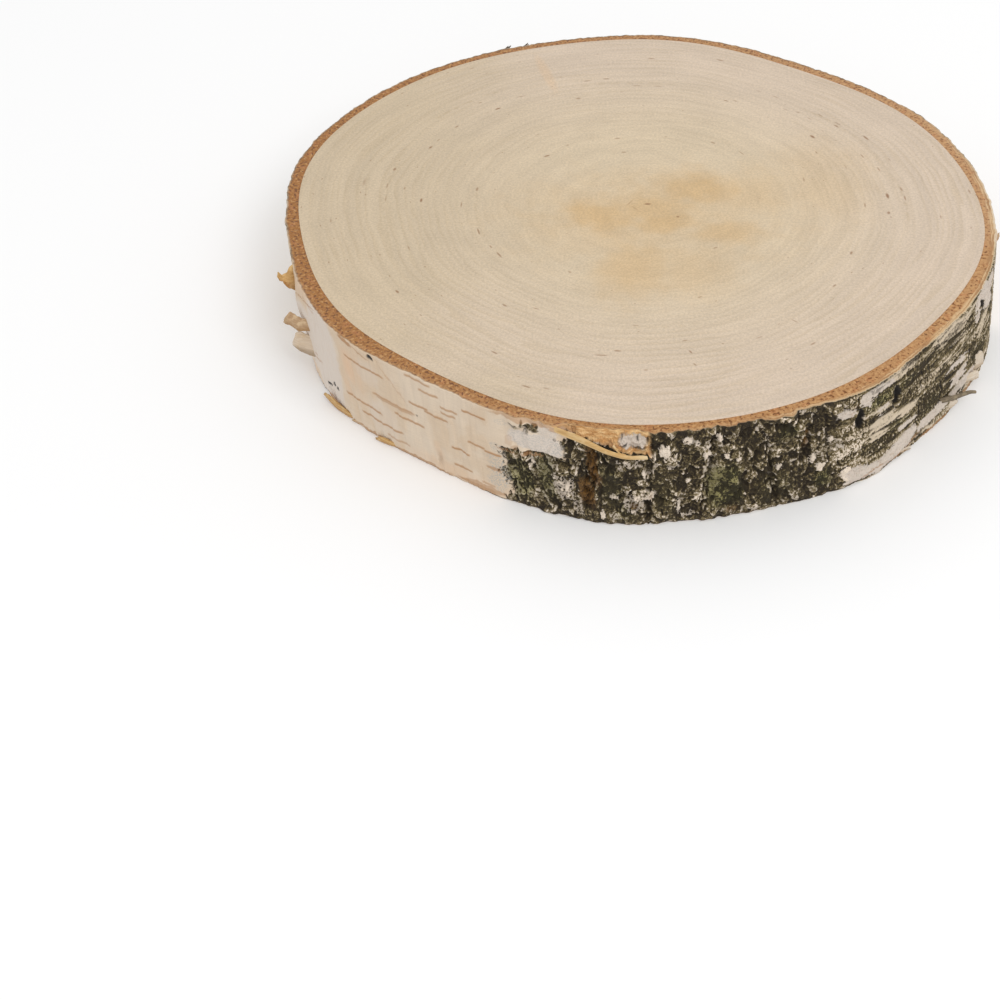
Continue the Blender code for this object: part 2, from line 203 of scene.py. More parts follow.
# Marks of each colour on the wall, in the same form
markTables = {
    "paperWhite": (
        (211.2, 15.0, 9.6, 18.0, 1, 1.0),
        (204.0, 13.6, 9.5, 10.4, 4, 0.95),
        (226.5, 8.0, 6.0, 6.0, 0, 0.35),
        (224.0, 22.5, 4.0, 4.0, 0, 0.3),
    ),
    "bright": (
        (301.5, 14.5, 4.5, 7.0, 0, 0.9),
        (280.5, 13.0, 4.2, 5.0, 0, 0.8),
        (253.6, 12.0, 3.6, 6.0, 0, 0.5),
        (270.6, 9.0, 3.2, 4.2, 0, 0.7),
        (253.6, 10.5, 8.0, 9.0, 0, 0.6),
        (258.6, 16.5, 4.0, 3.0, 0, 0.6),
        (271.2, 15.8, 2.0, 2.6, 10, 0.6),
        (302.8, 15.5, 4.0, 4.0, 0, 0.4),
    ),
    "pale": (
        (259.5, 9.6, 2.4, 4.6, -8, 0.69),
        (259.9, 10.4, 0.8, 2.2, -8, 1.0),
        (258.2, 11.5, 1.2, 2.6, 10, 0.6),
        (261.3, 3.2, 1.3, 3.0, 25, 0.5),
        (269.4, 6.4, 2.6, 3.0, 25, 0.66),
        (270.0, 8.6, 1.0, 0.9, 35, 1.0),
        (269.0, 3.6, 1.0, 0.7, 0, 0.9),
        (271.8, 8.8, 0.9, 2.2, -35, 0.95),
        (266.7, 9.0, 0.9, 0.8, 20, 1.0),
        (265.0, 3.0, 0.9, 1.2, 0, 0.9),
        (274.3, 24.3, 1.6, 1.7, 5, 1.0),
        (277.6, 27.0, 1.7, 1.0, -10, 0.9),
        (279.0, 25.6, 0.8, 1.4, 30, 0.7),
        (282.2, 27.0, 0.8, 1.4, 5, 1.0),
        (280.5, 24.0, 0.9, 0.9, 0, 0.9),
        (280.3, 21.6, 1.1, 1.0, 0, 0.9),
        (283.0, 20.2, 1.1, 0.9, -20, 0.9),
        (284.7, 18.4, 0.9, 0.9, 0, 0.8),
        (275.2, 18.3, 1.7, 0.9, 15, 0.7),
        (275.8, 5.5, 0.8, 3.6, -8, 0.75),
        (276.9, 2.0, 1.8, 0.7, 5, 0.7),
        (290.8, 13.6, 0.9, 1.3, 10, 0.9),
        (289.9, 11.0, 1.3, 0.8, -20, 0.6),
        (296.1, 13.6, 1.1, 1.5, 0, 1.0),
        (297.3, 10.0, 1.4, 1.3, -25, 0.95),
        (298.9, 18.2, 1.2, 0.9, 0, 0.8),
        (301.6, 4.6, 1.9, 2.6, 25, 0.9),
        (254.7, 16.2, 0.8, 0.9, 0, 0.9),
        (267.9, 21.0, 1.0, 1.3, 20, 0.6),
        (270.2, 20.4, 1.0, 1.6, -20, 0.6),
        (286.9, 22.5, 1.2, 2.3, 0, 0.35),
        (288.9, 24.5, 0.7, 2.3, 10, 0.5),
        (296.0, 27.4, 0.8, 1.0, 0, 0.6),
        (294.3, 29.6, 1.3, 0.5, 0, 0.7),
    ),
    "white": (
        (304.9, 26.6, 2.0, 2.4, 25, 1.0),
        (337.0, 29.0, 4.0, 1.4, 0, 0.8),
        (308.4, 21.4, 1.8, 0.5, 0, 0.9),
        (307.8, 19.1, 1.8, 0.25, 0, 0.8),
        (255.6, 23.2, 8.0, 2.9, -2, 1.0),
        (257.6, 27.4, 2.6, 1.7, -10, 0.8),
        (269.8, 27.2, 3.8, 1.9, -2, 0.95),
        (301.4, 25.0, 3.0, 1.3, -12, 1.0),
        (308.0, 28.2, 6.0, 1.4, 0, 0.7),
        (314.4, 10.0, 4.2, 0.8, 2, 0.85),
        (309.8, 2.6, 11.0, 2.2, 2, 0.9),
        (314.0, 5.2, 5.5, 1.6, 4, 0.9),
        (303.0, 3.4, 3.2, 3.0, 0, 0.8),
        (321.2, 4.2, 8.0, 1.8, 0, 0.9),
        (328.3, 14.4, 5.6, 0.8, 2, 0.85),
        (329.0, 9.6, 4.4, 2.0, 3, 1.0),
        (331.0, 5.2, 8.0, 2.0, 0, 0.85),
        (326.6, 22.5, 2.8, 0.7, -8, 0.5),
        (336.6, 27.0, 4.4, 2.8, 0, 1.0),
        (340.8, 24.6, 5.4, 5.0, 0, 0.9),
        (335.2, 23.0, 2.4, 2.6, 0, 0.75),
    ),
    "cream": (
        (312.0, 28.9, 9.0, 1.4, 0, 0.8),
        (326.0, 28.0, 10.0, 2.0, -3, 0.9),
        (328.5, 22.6, 3.0, 1.0, 0, 0.7),
        (304.5, 17.0, 6.0, 1.2, -3, 0.45),
        (308.6, 16.4, 5.0, 2.2, 2, 0.9),
        (313.5, 14.8, 6.0, 1.3, 2, 0.85),
        (307.4, 13.2, 3.4, 1.8, 0, 0.7),
        (308.2, 21.2, 3.2, 0.7, 0, 0.7),
        (323.0, 19.0, 6.0, 1.0, 4, 0.5),
        (330.0, 18.4, 4.0, 0.9, 4, 0.4),
        (318.0, 1.6, 7.0, 0.9, 2, 0.6),
        (333.5, 2.2, 7.5, 1.3, 0, 0.7),
        (338.5, 17.6, 6.0, 3.6, 0, 0.5),
        (251.8, 21.4, 1.5, 1.6, 0, 0.8),
    ),
    "dark": (
        (287.5, 8.5, 3.5, 5.0, 0, 0.6),
        (289.5, 8.5, 6.5, 7.0, 0, 0.6),
        # painted shadow to the right of a raised plate
        (273.6, 12.0, 2.2, 8.0, 0, 0.9),
        (265.8, 11.0, 1.8, 7.0, 0, 0.6),
        (286.6, 20.5, 2.2, 5.0, 0, 0.6),
        (267.5, 1.6, 6.0, 1.2, 0, 0.5),
        (301.6, 28.2, 2.6, 1.6, 0, 0.55),
        (307.6, 8.6, 7.0, 2.0, -2, 0.75),
        (302.0, 10.0, 4.0, 3.4, 0, 0.3),
        (307.4, 19.6, 6.4, 0.6, 2, 0.8),
        (316.5, 24.6, 6.0, 2.8, 0, 0.8),
        (325.6, 25.6, 12.0, 1.7, 0, 0.9),
        (331.4, 24.2, 3.0, 2.2, 0, 1.0),
        (317.0, 19.6, 4.6, 2.4, 0, 0.5),
        (325.8, 17.0, 5.4, 1.0, 3, 0.7),
        (327.6, 12.3, 5.4, 1.0, 3, 0.95),
        (320.4, 10.6, 6.6, 3.8, 0, 0.9),
        (336.8, 9.2, 6.0, 2.8, 6, 0.85),
        (333.2, 13.6, 2.6, 2.4, 0, 0.7),
        (343.6, 14.0, 2.4, 8.0, 8, 0.85),
        (343.4, 28.4, 2.0, 1.6, 0, 0.75),
        (348.4, 21.0, 2.4, 4.6, 0, 0.7),
        (349.0, 8.0, 4.0, 4.0, 0, 0.7),
    ),
    "moss": (
        (282.5, 10.5, 4.9, 7.0, 0, 1.0),
        (292.2, 24.6, 2.6, 2.3, 0, 0.8),
        (252.6, 9.0, 3.6, 7.0, 0, 0.85),
        (256.9, 12.0, 2.6, 7.0, 0, 0.85),
        (266.2, 12.8, 2.6, 7.5, 0, 0.5),
        (268.3, 4.6, 2.2, 3.4, 0, 0.5),
        (297.8, 5.6, 2.6, 2.6, 0, 0.9),
        (307.8, 24.3, 4.2, 1.6, 5, 1.0),
        (313.4, 24.6, 3.6, 1.2, 0, 0.5),
        (273.6, 10.0, 3.0, 5.0, 0, 0.3),
        (290.0, 7.0, 5.0, 4.5, 0, 0.3),
        (320.6, 9.0, 3.4, 2.6, 0, 0.35),
        (312.0, 12.0, 3.4, 1.0, 0, 0.6),
        (336.0, 9.4, 5.0, 2.2, 0, 0.3),
    ),
    "rust": (
        (264.0, 18.4, 1.4, 6.4, 6, 1.0),
        (262.8, 9.4, 1.9, 4.6, 6, 1.0),
        (269.4, 5.6, 0.9, 1.1, 0, 0.6),
        (295.0, 20.6, 0.8, 3.0, 0, 0.75),
        (283.6, 2.0, 1.6, 1.2, 0, 0.4),
        (237.5, 4.4, 0.6, 2.2, 8, 0.30),
        (303.0, 26.4, 1.2, 0.8, 0, 0.4),
    ),
    "tan": (
        (251.3, 21.6, 1.1, 1.5, 0, 0.25),
        (252.2, 19.6, 1.0, 0.7, 0, 0.4),
        (255.0, 18.9, 3.0, 0.35, 3, 0.8),
        (254.0, 29.5, 9.0, 0.7, 0, 0.6),
        (246.0, 1.4, 6.5, 0.9, 0, 0.6),
        (260.0, 28.9, 4.0, 0.9, 0, 0.6),
        (213.5, 0.6, 7.0, 1.1, 3, 0.85),
        (222.5, 0.5, 7.0, 0.5, 0, 0.8),
        (233.0, 0.35, 12.0, 0.5, 0, 0.75),
        (244.5, 0.7, 7.0, 0.7, -2, 0.8),
        (306.5, 1.7, 4.0, 0.25, 2, 0.7),
        (312.5, 0.8, 5.0, 0.3, 3, 0.7),
        (316.5, 2.2, 3.0, 0.3, 4, 0.5),
        (322.0, 0.5, 7.0, 0.5, 2, 0.7),
        (333.0, 0.8, 6.0, 0.7, 2, 0.6),
        (219.6, 29.3, 3.0, 0.8, -8, 0.9),
        (223.0, 28.3, 3.0, 0.25, -16, 0.6),
        (250.9, 17.6, 3.0, 0.35, -6, 0.55),
        (248.0, 9.4, 2.4, 0.55, -6, 0.7),
        (267.4, 26.0, 3.4, 0.3, -4, 0.9),
        (205.4, 27.0, 8.4, 0.26, 15, 0.75),
        (229.2, 23.8, 6.4, 0.22, -46, 0.4),
        (206.6, 8.4, 3.6, 0.25, 12, 0.6),
        (201.4, 5.4, 5.0, 0.3, 42, 0.6),
    ),
    "peach": (
        (204.0, 29.0, 14.0, 1.8, 12, 0.45),
        (219.4, 20.6, 2.2, 5.0, 4, 0.9),
        (218.4, 13.0, 1.4, 3.0, 8, 0.6),
        (221.8, 20.0, 1.6, 8.0, 0, 0.35),
        (237.6, 5.2, 0.7, 2.8, 6, 0.8),
        (203.0, 6.0, 4.0, 8.0, 0, 0.5),
        (240.0, 2.0, 14.0, 2.2, 0, 0.45),
        (60.0, 20.0, 14.0, 9.0, 0, 0.5),
        (120.0, 9.0, 20.0, 9.0, 0, 0.5),
        (175.0, 20.0, 16.0, 8.0, 0, 0.4),
    ),
    "black": (
        (210.9, 5.0, 1.2, 0.6, 25, 1.0),
        (211.9, 5.6, 0.9, 0.6, 15, 1.0),
        (213.5, 7.8, 0.9, 0.7, 40, 1.0),
        (214.6, 7.4, 0.5, 0.6, 0, 1.0),
        (212.9, 6.9, 0.35, 0.3, 0, 0.7),
        (225.4, 28.6, 1.3, 0.7, -10, 1.0),
        (233.9, 16.0, 0.32, 0.3, 0, 0.8),
        (303.8, 21.4, 1.4, 3.2, 0, 1.0),
        (303.4, 25.0, 0.35, 1.0, 0, 0.8),
        (311.2, 22.0, 1.5, 3.2, 0, 1.0),
        (310.9, 25.0, 0.5, 1.0, 0, 0.7),
        (337.2, 24.2, 1.7, 1.1, -25, 1.0),
        (268.7, 26.2, 0.8, 0.25, 15, 0.9),
        (270.5, 28.0, 0.3, 0.7, 0, 0.8),
        (268.2, 28.2, 0.25, 0.8, 0, 0.7),
        (272.0, 28.0, 0.3, 1.1, 0, 0.8),
        # painted shadow under the raised white fragment
        (271.0, 25.6, 1.6, 0.3, -4, 0.8),
        (326.0, 12.0, 3.5, 0.5, 5, 0.5),
        (331.8, 12.4, 0.35, 3.4, 0, 0.85),
        (316.8, 9.8, 0.3, 3.4, -10, 0.85),
        (317.9, 8.2, 0.2, 1.8, 6, 0.6),
        (323.4, 9.6, 0.4, 3.8, -4, 0.9),
        (321.2, 9.6, 0.2, 1.6, 5, 0.5),
        (317.6, 21.6, 0.4, 3.6, 5, 0.8),
        (319.4, 22.6, 0.3, 2.6, 8, 0.7),
        (315.2, 24.0, 0.3, 1.8, -10, 0.6),
        (325.0, 13.0, 0.3, 1.6, 10, 0.5),
        (313.0, 18.6, 0.3, 1.8, -20, 0.5),
        (38.0, 12.0, 1.5, 2.8, 0, 0.9),
        (152.0, 20.5, 1.7, 1.6, 0, 0.9),
        (95.0, 16.0, 3.4, 1.9, 0, 0.8),
    ),
    "lichen": (
        (249.2, 17.2, 2.2, 2.0, 0, 0.6),
        (248.2, 12.2, 1.7, 2.0, 0, 0.7),
        (248.8, 6.0, 1.5, 4.2, 0, 0.7),
        (259.2, 22.8, 1.6, 2.2, 0, 0.75),
        (251.0, 26.6, 3.6, 1.0, 0, 0.4),
    ),
}

# Corky lines round the trunk: start and end direction, height, strength
lenticelTable = (
    (218.5, 228.0, 23.9, 0.9),
    (224.5, 233.7, 16.3, 0.8),
    (225.2, 233.2, 15.7, 0.6),
    (217.5, 226.5, 10.1, 0.9),
    (221.0, 230.5, 6.8, 0.9),
    (226.5, 231.5, 3.5, 0.6),
    (232.3, 237.7, 28.9, 0.8),
    (235.0, 239.0, 26.2, 0.8),
    (243.3, 247.8, 25.9, 1.0),
    (239.0, 242.5, 23.5, 0.8),
    (239.0, 242.0, 21.7, 0.8),
    (232.5, 236.5, 20.0, 0.9),
    (235.5, 240.5, 19.3, 0.9),
    (229.0, 235.5, 13.4, 0.9),
    (243.7, 247.0, 15.5, 0.9),
    (246.7, 249.8, 14.9, 1.0),
    (240.3, 244.0, 10.9, 1.0),
    (240.3, 244.0, 4.9, 0.9),
    (245.5, 248.0, 2.9, 0.6),
    (205.5, 209.0, 9.5, 0.4),
    (204.0, 209.5, 27.4, 0.35),
)
guessedLenticels = {"count": 70, "from": -8.0, "to": 196.0, "shortest": 2.0, "longest": 8.5, "seed": 11}
lenticelHalf = 0.48  # half the height of a line


def guessLenticels():
    rng = np.random.default_rng(guessedLenticels["seed"])
    lines = []
    for _ in range(guessedLenticels["count"]):
        start = rng.uniform(guessedLenticels["from"], guessedLenticels["to"])
        length = rng.uniform(guessedLenticels["shortest"], guessedLenticels["longest"])
        lines.append((start, start + length, rng.uniform(1.5, 28.5), rng.uniform(0.4, 1.0)))
    return lines


markSquareness = 2.8  # 2 gives ovals, more gives squarer outlines
# Width of the fade at the edge of each kind of mark
markSoftness = {
    "white": 0.5,
    "paperWhite": 2.2,
    "cream": 1.6,
    "moss": 3.0,
    "peach": 3.0,
    "bright": 3.0,
    "pale": 0.9,
    "dark": 0.6,
    "other": 0.28,
}


def marksAt(marks, direction, height, warp, softness):
    mask = np.zeros(direction.shape)
    for centre, middle, halfWidth, halfHeight, tilt, strength in marks:
        across = arcAt(turnBetween(direction, centre))
        up = height - middle
        reach = 1.5 * max(halfWidth, halfHeight) + 1.0
        near = (np.abs(across) < reach) & (np.abs(up) < reach)
        across = across[near] + warp[0][near]
        up = up[near] + warp[1][near]
        cosine, sine = math.cos(math.radians(tilt)), math.sin(math.radians(tilt))
        x = np.abs(across * cosine + up * sine) / halfWidth
        y = np.abs(up * cosine - across * sine) / halfHeight
        off = (x**markSquareness + y**markSquareness) ** (1.0 / markSquareness)
        soft = softness / min(halfWidth, halfHeight)
        mask[near] = np.maximum(mask[near], strength * smooth((1.0 - off) / soft + 0.5))
    return mask


def lenticelsAt(lines, direction, height, wobble):
    mask = np.zeros(direction.shape)
    for start, end, middle, strength in lines:
        centre = (start + end) / 2.0
        half = (end - start) / 2.0
        along = turnBetween(direction, centre) / half
        near = (np.abs(along) < 1.1) & (np.abs(height - middle) < 1.5)
        taper = np.sqrt(np.clip(1.0 - along[near] ** 2, 0.0, 1.0))
        off = np.abs(height[near] - middle + 0.04 * wobble[near]) / lenticelHalf
        mask[near] = np.maximum(mask[near], strength * smooth(1.25 - off) * smooth(taper * 1.6))
    return mask


def largePlates(direction, height):
    # The same plates as the solid's, so the fine wall keeps its form
    width, tall = platedBark["plateSize"]
    gap, draw, _, _ = cellsAt(arcAt(direction) / width, height / tall, 0.0)
    crack = smooth(gap / platedBark["plateCrack"])
    own = platedBark["plateLowest"] + (1.0 - platedBark["plateLowest"]) * draw
    return platedBark["plateRise"] * (crack * own - platedBark["plateMiddle"]), 1.0 - crack


def fissureDepth(direction, height):
    depth = np.zeros(direction.shape)
    for topDirection, top, footDirection, foot, halfWidth, deepest in platedBark["fissures"]:
        share = (height - foot) / (top - foot)
        centre = footDirection + (topDirection - footDirection) * share
        off = np.abs(arcAt(turnBetween(direction, centre))) / halfWidth
        ends = between(share, 0.0, 1.0, 0.2)
        depth = np.maximum(depth, deepest * ends * smooth(1.55 - off))
    return depth


def scarDepth(direction, height):
    depth = np.zeros(direction.shape)
    for centre, middle, halfWidth, halfHeight, deepest in scarTable:
        off = np.abs(arcAt(turnBetween(direction, centre))) / halfWidth
        off = off + np.abs(height - middle) / halfHeight
        depth = np.maximum(depth, deepest * smooth(1.55 - off))
    return depth


def paperWaves(direction, height):
    reach = sliceShape["woodRadius"] / barkShape["paperWave"]
    angle = np.radians(direction)
    spots = zip(
        (reach * np.cos(angle)).tolist(),
        (reach * np.sin(angle)).tolist(),
        (height / barkShape["paperWave"]).tolist(),
    )
    waves = np.fromiter((noise.noise(spot) for spot in spots), float, direction.size)
    return barkShape["paperRise"] * waves


def onlyWhere(zone, size, rule):
    # Works a rule out only where its zone is, because the fine rules are slow
    inside = zone > 0.0
    results = rule(inside)
    full = []
    for part in results:
        whole = np.zeros(size)
        whole[inside] = part
        full.append(whole)
    return full


def wallLook(direction, height):
    # Relief in millimetres and the masks for the material, at spots on the wall
    size = direction.size
    rounded = np.where(direction < roughFrom - 1e-6, direction + 360.0, direction)
    arc = arcAt(direction)
    wander = noiseAt(arc / 3.4, height / 3.4, 3.1)
    jitter = noiseAt(arc / 1.0, height / 1.0, 7.7)
    crumb = noiseAt(arc / 0.45, height / 0.45, 5.3)
    look = {}

    edge = np.interp(height, platedBark["edgeHeights"], platedBark["edgeDirections"])
    edge = edge + 0.8 * wander + 1.1 * jitter + 0.8 * crumb
    ends = platedBark["endsAt"] + 3.0 * wander + 1.0 * jitter
    rough = smooth((rounded - edge) / 0.3 + 0.5) * smooth((ends - rounded) / 3.0 + 0.5)
    plainWarpY = 0.5 * noiseAt(arc / 2.2, height / 2.2, 21.0) + 0.3 * jitter
    plainWarp = (0.6 * wander + 0.35 * jitter + 0.2 * crumb, plainWarpY)
    rough = np.maximum(rough, marksAt(roughIslands, rounded, height, plainWarp, 0.3))
    streaked = smooth((rounded - 300.5 - 2.6 * wander - 1.6 * jitter) / 1.0 + 0.5)
    plated = rough * (1.0 - streaked)
    onStreaks = rough * streaked

    platesZone = between(rounded, platedBark["platesFrom"], platedBark["platesTo"], 3.0)
    streakZone = between(rounded, streakedBark["from"], streakedBark["to"], streakedBark["fade"])
    raised = paperWaves(direction, height)
    for centre, middle, halfWidth, halfHeight, rise in barkShape["folds"]:
        off = (turnBetween(direction, centre) / halfWidth) ** 2 + ((height - middle) / halfHeight) ** 2
        raised = raised + rise * np.exp(-off)
    rim = np.minimum(height, thick - height)
    wear = noiseAt(arc / 2.8, height / 12.0, 17.0) + 0.6 * noiseAt(arc / 1.1, height / 7.0, 18.0)
    wear = wear * (1.0 - streakZone) * (1.0 - 0.8 * rough)
    wear = wear * (1.0 - 0.85 * between(rounded, 206.0, 262.0, 6.0))
    raised = raised + barkShape["edgeWear"] * wear
    big, bigCrack = onlyWhere(platesZone, size, lambda on: largePlates(direction[on], height[on]))
    crumble = smooth(1.0 - rim / platedBark["crumbleReach"]) * np.where(height < 0.5 * thick, 0.5, 1.0)
    crumble = crumble * (0.5 + noiseAt(arc / platedBark["crumbleWidth"], height / thick, 9.0))
    big = big * (0.5 + 0.5 * smooth(height / 3.6))
    raised = raised + platesZone * (big - platedBark["crumbleDepth"] * crumble)
    fissure = np.where(platesZone > 0.0, fissureDepth(rounded, height + 1.5 * wander), 0.0)
    fissure = fissure * smooth(0.9 + 2.2 * jitter)
    torn = between(rounded, tornBark["from"], tornBark["to"], tornBark["fade"])
    torn = torn * smooth((height - tornBark["above"]) / (thick - tornBark["above"]))
    raised = raised - fissure - tornBark["depth"] * torn

    def streakRelief(on):
        a, h = arc[on] / streakedBark["length"], height[on] / streakedBark["height"]
        rule = (noise.fractal((x, y, 5.0), 0.6, 2, 3) for x, y in zip(a.tolist(), h.tolist()))
        return (np.fromiter(rule, float, int(on.sum())),)

    (ridges,) = onlyWhere(streakZone, size, streakRelief)
    raised = raised + streakZone * streakedBark["rise"] * ridges - scarDepth(direction, height)

    # Flakes and bits that are too fine for the solid
    flakeWide, flakeTall = platedBark["flakeSize"]
    bitWide, bitTall = platedBark["bitSize"]
    gap, draw, _, _ = onlyWhere(
        plated, size, lambda on: cellsAt(arc[on] / flakeWide, height[on] / flakeTall, 2.0, 0.8, 1.1)
    )
    bitGap, bitDraw, bitX, bitY = onlyWhere(
        plated, size, lambda on: cellsAt(arc[on] / bitWide, height[on] / bitTall, 6.0, 0.6, 1.1)
    )
    flakeEdge = smooth(gap / 0.16)
    bitEdge = smooth(bitGap / 0.30)
    flaky = platedBark["flakeRise"] * ((draw - 0.5) * flakeEdge - 0.4 * (1.0 - flakeEdge))
    flaky = flaky + platedBark["bitRise"] * ((bitDraw - 0.5) * bitEdge - 0.5 * (1.0 - bitEdge))
    flaky = flaky + 0.25 * jitter + 0.2 * crumb
    look["rust"] = marksAt(markTables["rust"], rounded, height, plainWarp, 1.0)
    flaky = flaky * (1.0 - 0.85 * look["rust"])
    raised = raised + plated * flaky * (0.2 + 0.8 * smooth(rim / 2.2)) + onStreaks * 0.14 * crumb

    # Streaks round the trunk on the right
    def streakTones(on):
        a, h = arc[on], height[on]
        slanted = h - 0.035 * (a - arcAt(320.0)) + 0.5 * noiseAt(a / 9.0, h / 6.0, 15.0)
        long = noiseAt(a / 7.0, slanted / 0.95, 11.0)
        short = noiseAt(a / 2.0, slanted / 0.55, 12.0)
        broad = noiseAt(a / 11.0, slanted / 2.6, 13.0)
        feather = noiseAt(a / 3.6, slanted / 0.6, 14.0)
        return long, short, broad, feather

    long, short, broad, feather = onlyWhere(onStreaks, size, streakTones)
    grainy = onStreaks * marksAt(granularSpots, rounded, height, plainWarp, 3.0)
    lengthwise = (1.0 - 0.85 * grainy) * (0.6 * long + 0.42 * short)
    streaky = 0.5 + lengthwise + 0.45 * broad + (0.38 + 0.5 * grainy) * crumb + (0.12 + 0.3 * grainy) * jitter
    streaky = np.clip(streaky, 0.0, 1.0)
    raised = raised + onStreaks * 0.3 * (streaky - 0.5)

    # Marks have the outline of the bits that they cover, and on the right they fray along the streaks
    warpX = np.where(plated > 0.5, 0.7 * wander + 0.75 * bitX * bitWide + 0.25 * crumb, plainWarp[0])
    warpY = np.where(plated > 0.5, 0.35 * jitter + 0.75 * bitY * bitTall + 0.25 * crumb, plainWarp[1])
    frayX = np.where(onStreaks > 0.5, 2.6 * feather + 1.2 * short + 0.5 * crumb, warpX)
    frayY = np.where(onStreaks > 0.5, 0.6 * long + 0.5 * short + 0.3 * feather + 0.3 * crumb, warpY)
    warps = {"white": (frayX, frayY), "cream": (frayX, frayY), "black": plainWarp}
    for kind, marks in markTables.items():
        if kind != "rust":
            warp = warps.get(kind, (warpX, warpY))
            look[kind] = marksAt(marks, rounded, height, warp, markSoftness.get(kind, markSoftness["other"]))
    look["white"] = np.maximum(look["white"], look.pop("paperWhite") * (1.0 - rough))
    for kind, weight in (("white", 0.7), ("cream", 1.3), ("dark", 1.2)):
        sought = 1.0 - streaky if kind == "dark" else streaky
        fade = 1.1 if kind == "cream" else 0.6
        cover = smooth((1.6 * look[kind] - 0.8 + weight * (sought - 0.5)) / fade + 0.5)
        look[kind] = look[kind] * (1.0 - onStreaks) + onStreaks * cover

    # Chips have a sharp edge with a painted shadow line round it, and worn spots are grainy
    chips = smooth((look["pale"] - 0.71) / 0.05) * rough
    chipShadowLine = smooth((look["pale"] - 0.1) / 0.3) * (1.0 - chips) * plated * smooth(0.6 + 3.0 * jitter)
    worn = rough * smooth(look["pale"] / 0.7)
    raised = raised + 0.35 * chips - 0.2 * chipShadowLine
    raised = raised + 0.18 * look["white"] * between(rounded, 250.0, 272.0, 1.0)

    # Some flakes and bits are pale all over, and some edges of flakes catch the light
    paleFlake = smooth((draw - 0.92) / 0.03) * flakeEdge * smooth((bitDraw - 0.2) / 0.1)
    paleBit = smooth((bitDraw - 0.93) / 0.03) * bitEdge * smooth((wander + 0.25) / 0.3)
    scattered = np.maximum(0.8 * paleFlake, 0.95 * paleBit) * (1.0 - 0.97 * look["moss"])
    scattered = scattered * (1.0 - look["rust"])
    paleEdge = between(gap, 0.07, 0.2, 0.06) * smooth((jitter - 0.02) / 0.15) * (1.0 - 0.7 * look["moss"])
    look["pale"] = np.maximum(np.maximum(chips, 0.72 * worn * smooth(0.95 + 1.4 * crumb)), plated * scattered)
    # Fissures and gaps between flakes: partly the bark's own dark colour, partly painted shade of the sunken
    # recess
    crack = np.maximum(bigCrack * 0.4, 0.7 * (1.0 - smooth(gap / 0.07)) * smooth(0.7 + 2.0 * wander))
    crack = np.maximum(crack, 0.85 * smooth(fissure / 1.1))
    look["crack"] = np.maximum(plated * crack * (1.0 - 0.85 * chips), 0.45 * chipShadowLine)
    platedTone = 0.49 + 0.36 * (draw - 0.5) + 0.22 * (bitDraw - 0.5)
    platedTone = platedTone + 0.24 * paleEdge + 0.2 * crumb + 0.2 * wander
    platedTone = platedTone + 0.3 * look["bright"] * (1.0 - look["rust"])
    towardsEdge = smooth((rounded - 328.0) / 14.0)
    streakTone = 0.70 * streaky - 0.02 + 0.08 * towardsEdge + 0.3 * look.pop("bright")
    streakTone = streakTone - 0.24 * look["dark"]
    platedTone = platedTone - 0.2 * look["dark"]
    look["dark"] = look["dark"] * (1.0 - 0.75 * rough)
    look["tone"] = np.clip(plated * platedTone + onStreaks * streakTone, 0.0, 1.0)
    look["speckled"] = 1.1 - 0.55 * onStreaks * (1.0 - grainy)
    look["rough"] = rough
    tornLook = between(rounded + 0.3 * wander, 257.6, 272.3, 0.8)
    splinterLine = thick - (rounded - 258.9) / (271.7 - 258.9) * 6.6
    look["torn"] = tornLook * smooth((height - splinterLine + 0.3 * jitter) / 0.5 + 1.1)
    look["torn"] = look["torn"] * (1.0 - look["white"])
    lichen = between(rounded + 0.8 * wander + 0.6 * jitter, 247.2, 250.4, 1.2)
    lichen = lichen * between(height, 3.5, 14.5, 2.0)
    greyed = 0.5 * look["white"] * between(rounded, 249.0, 262.0, 1.0)
    look["lichen"] = np.maximum(np.maximum(look["lichen"], 0.9 * lichen), greyed)
    look["crack"] = look["crack"] * (1.0 - lichen)

    strand = (1.0 - smooth(np.abs(feather - 0.08) / 0.05)) * smooth(0.5 + 2.5 * wander)
    strand = onStreaks * look["white"] * strand
    lines = lenticelTable + tuple(guessLenticels())
    corky = lenticelsAt(lines, direction, height, wander) * (1.0 - rough)
    raised = raised + 0.10 * corky - 0.25 * look["black"] + 0.15 * look["moss"] * jitter
    look["corky"] = np.maximum(np.maximum(0.95 * corky, 0.6 * strand), look.pop("tan"))

    # Thin layers of paper, with a step where one ends
    layers = noiseAt(arc / 14.0, height / 19.0, 31.0) + 0.35 * noiseAt(arc / 3.0, height / 5.0, 32.0)
    step = smooth((layers + 0.06 * jitter) / 0.04 + 0.5)
    look["layer"] = 0.25 * step + 0.75 * smooth(layers / 0.6 + 0.5)
    raised = raised + (1.0 - rough) * (0.08 * step + 0.03 * jitter)
    farEdge = smooth((height - 28.6) / 0.9) * between(rounded, 370.0, 558.0, 10.0)
    look["dark"] = np.maximum(look["dark"], farEdge * smooth(0.55 + 2.2 * wander + jitter))
    return raised, look


def blurred(grid, reach):
    # Mean over a square of cells, with the rim's values carried on outside
    for axis in (0, 1):
        padding = [(reach, reach) if axis == side else (0, 0) for side in (0, 1)]
        padded = np.pad(grid, padding, mode="edge")
        length = grid.shape[axis]
        total = np.zeros(grid.shape)
        for step in range(2 * reach + 1):
            total += padded[step : step + length, :] if axis == 0 else padded[:, step : step + length]
        grid = total / (2 * reach + 1)
    return grid


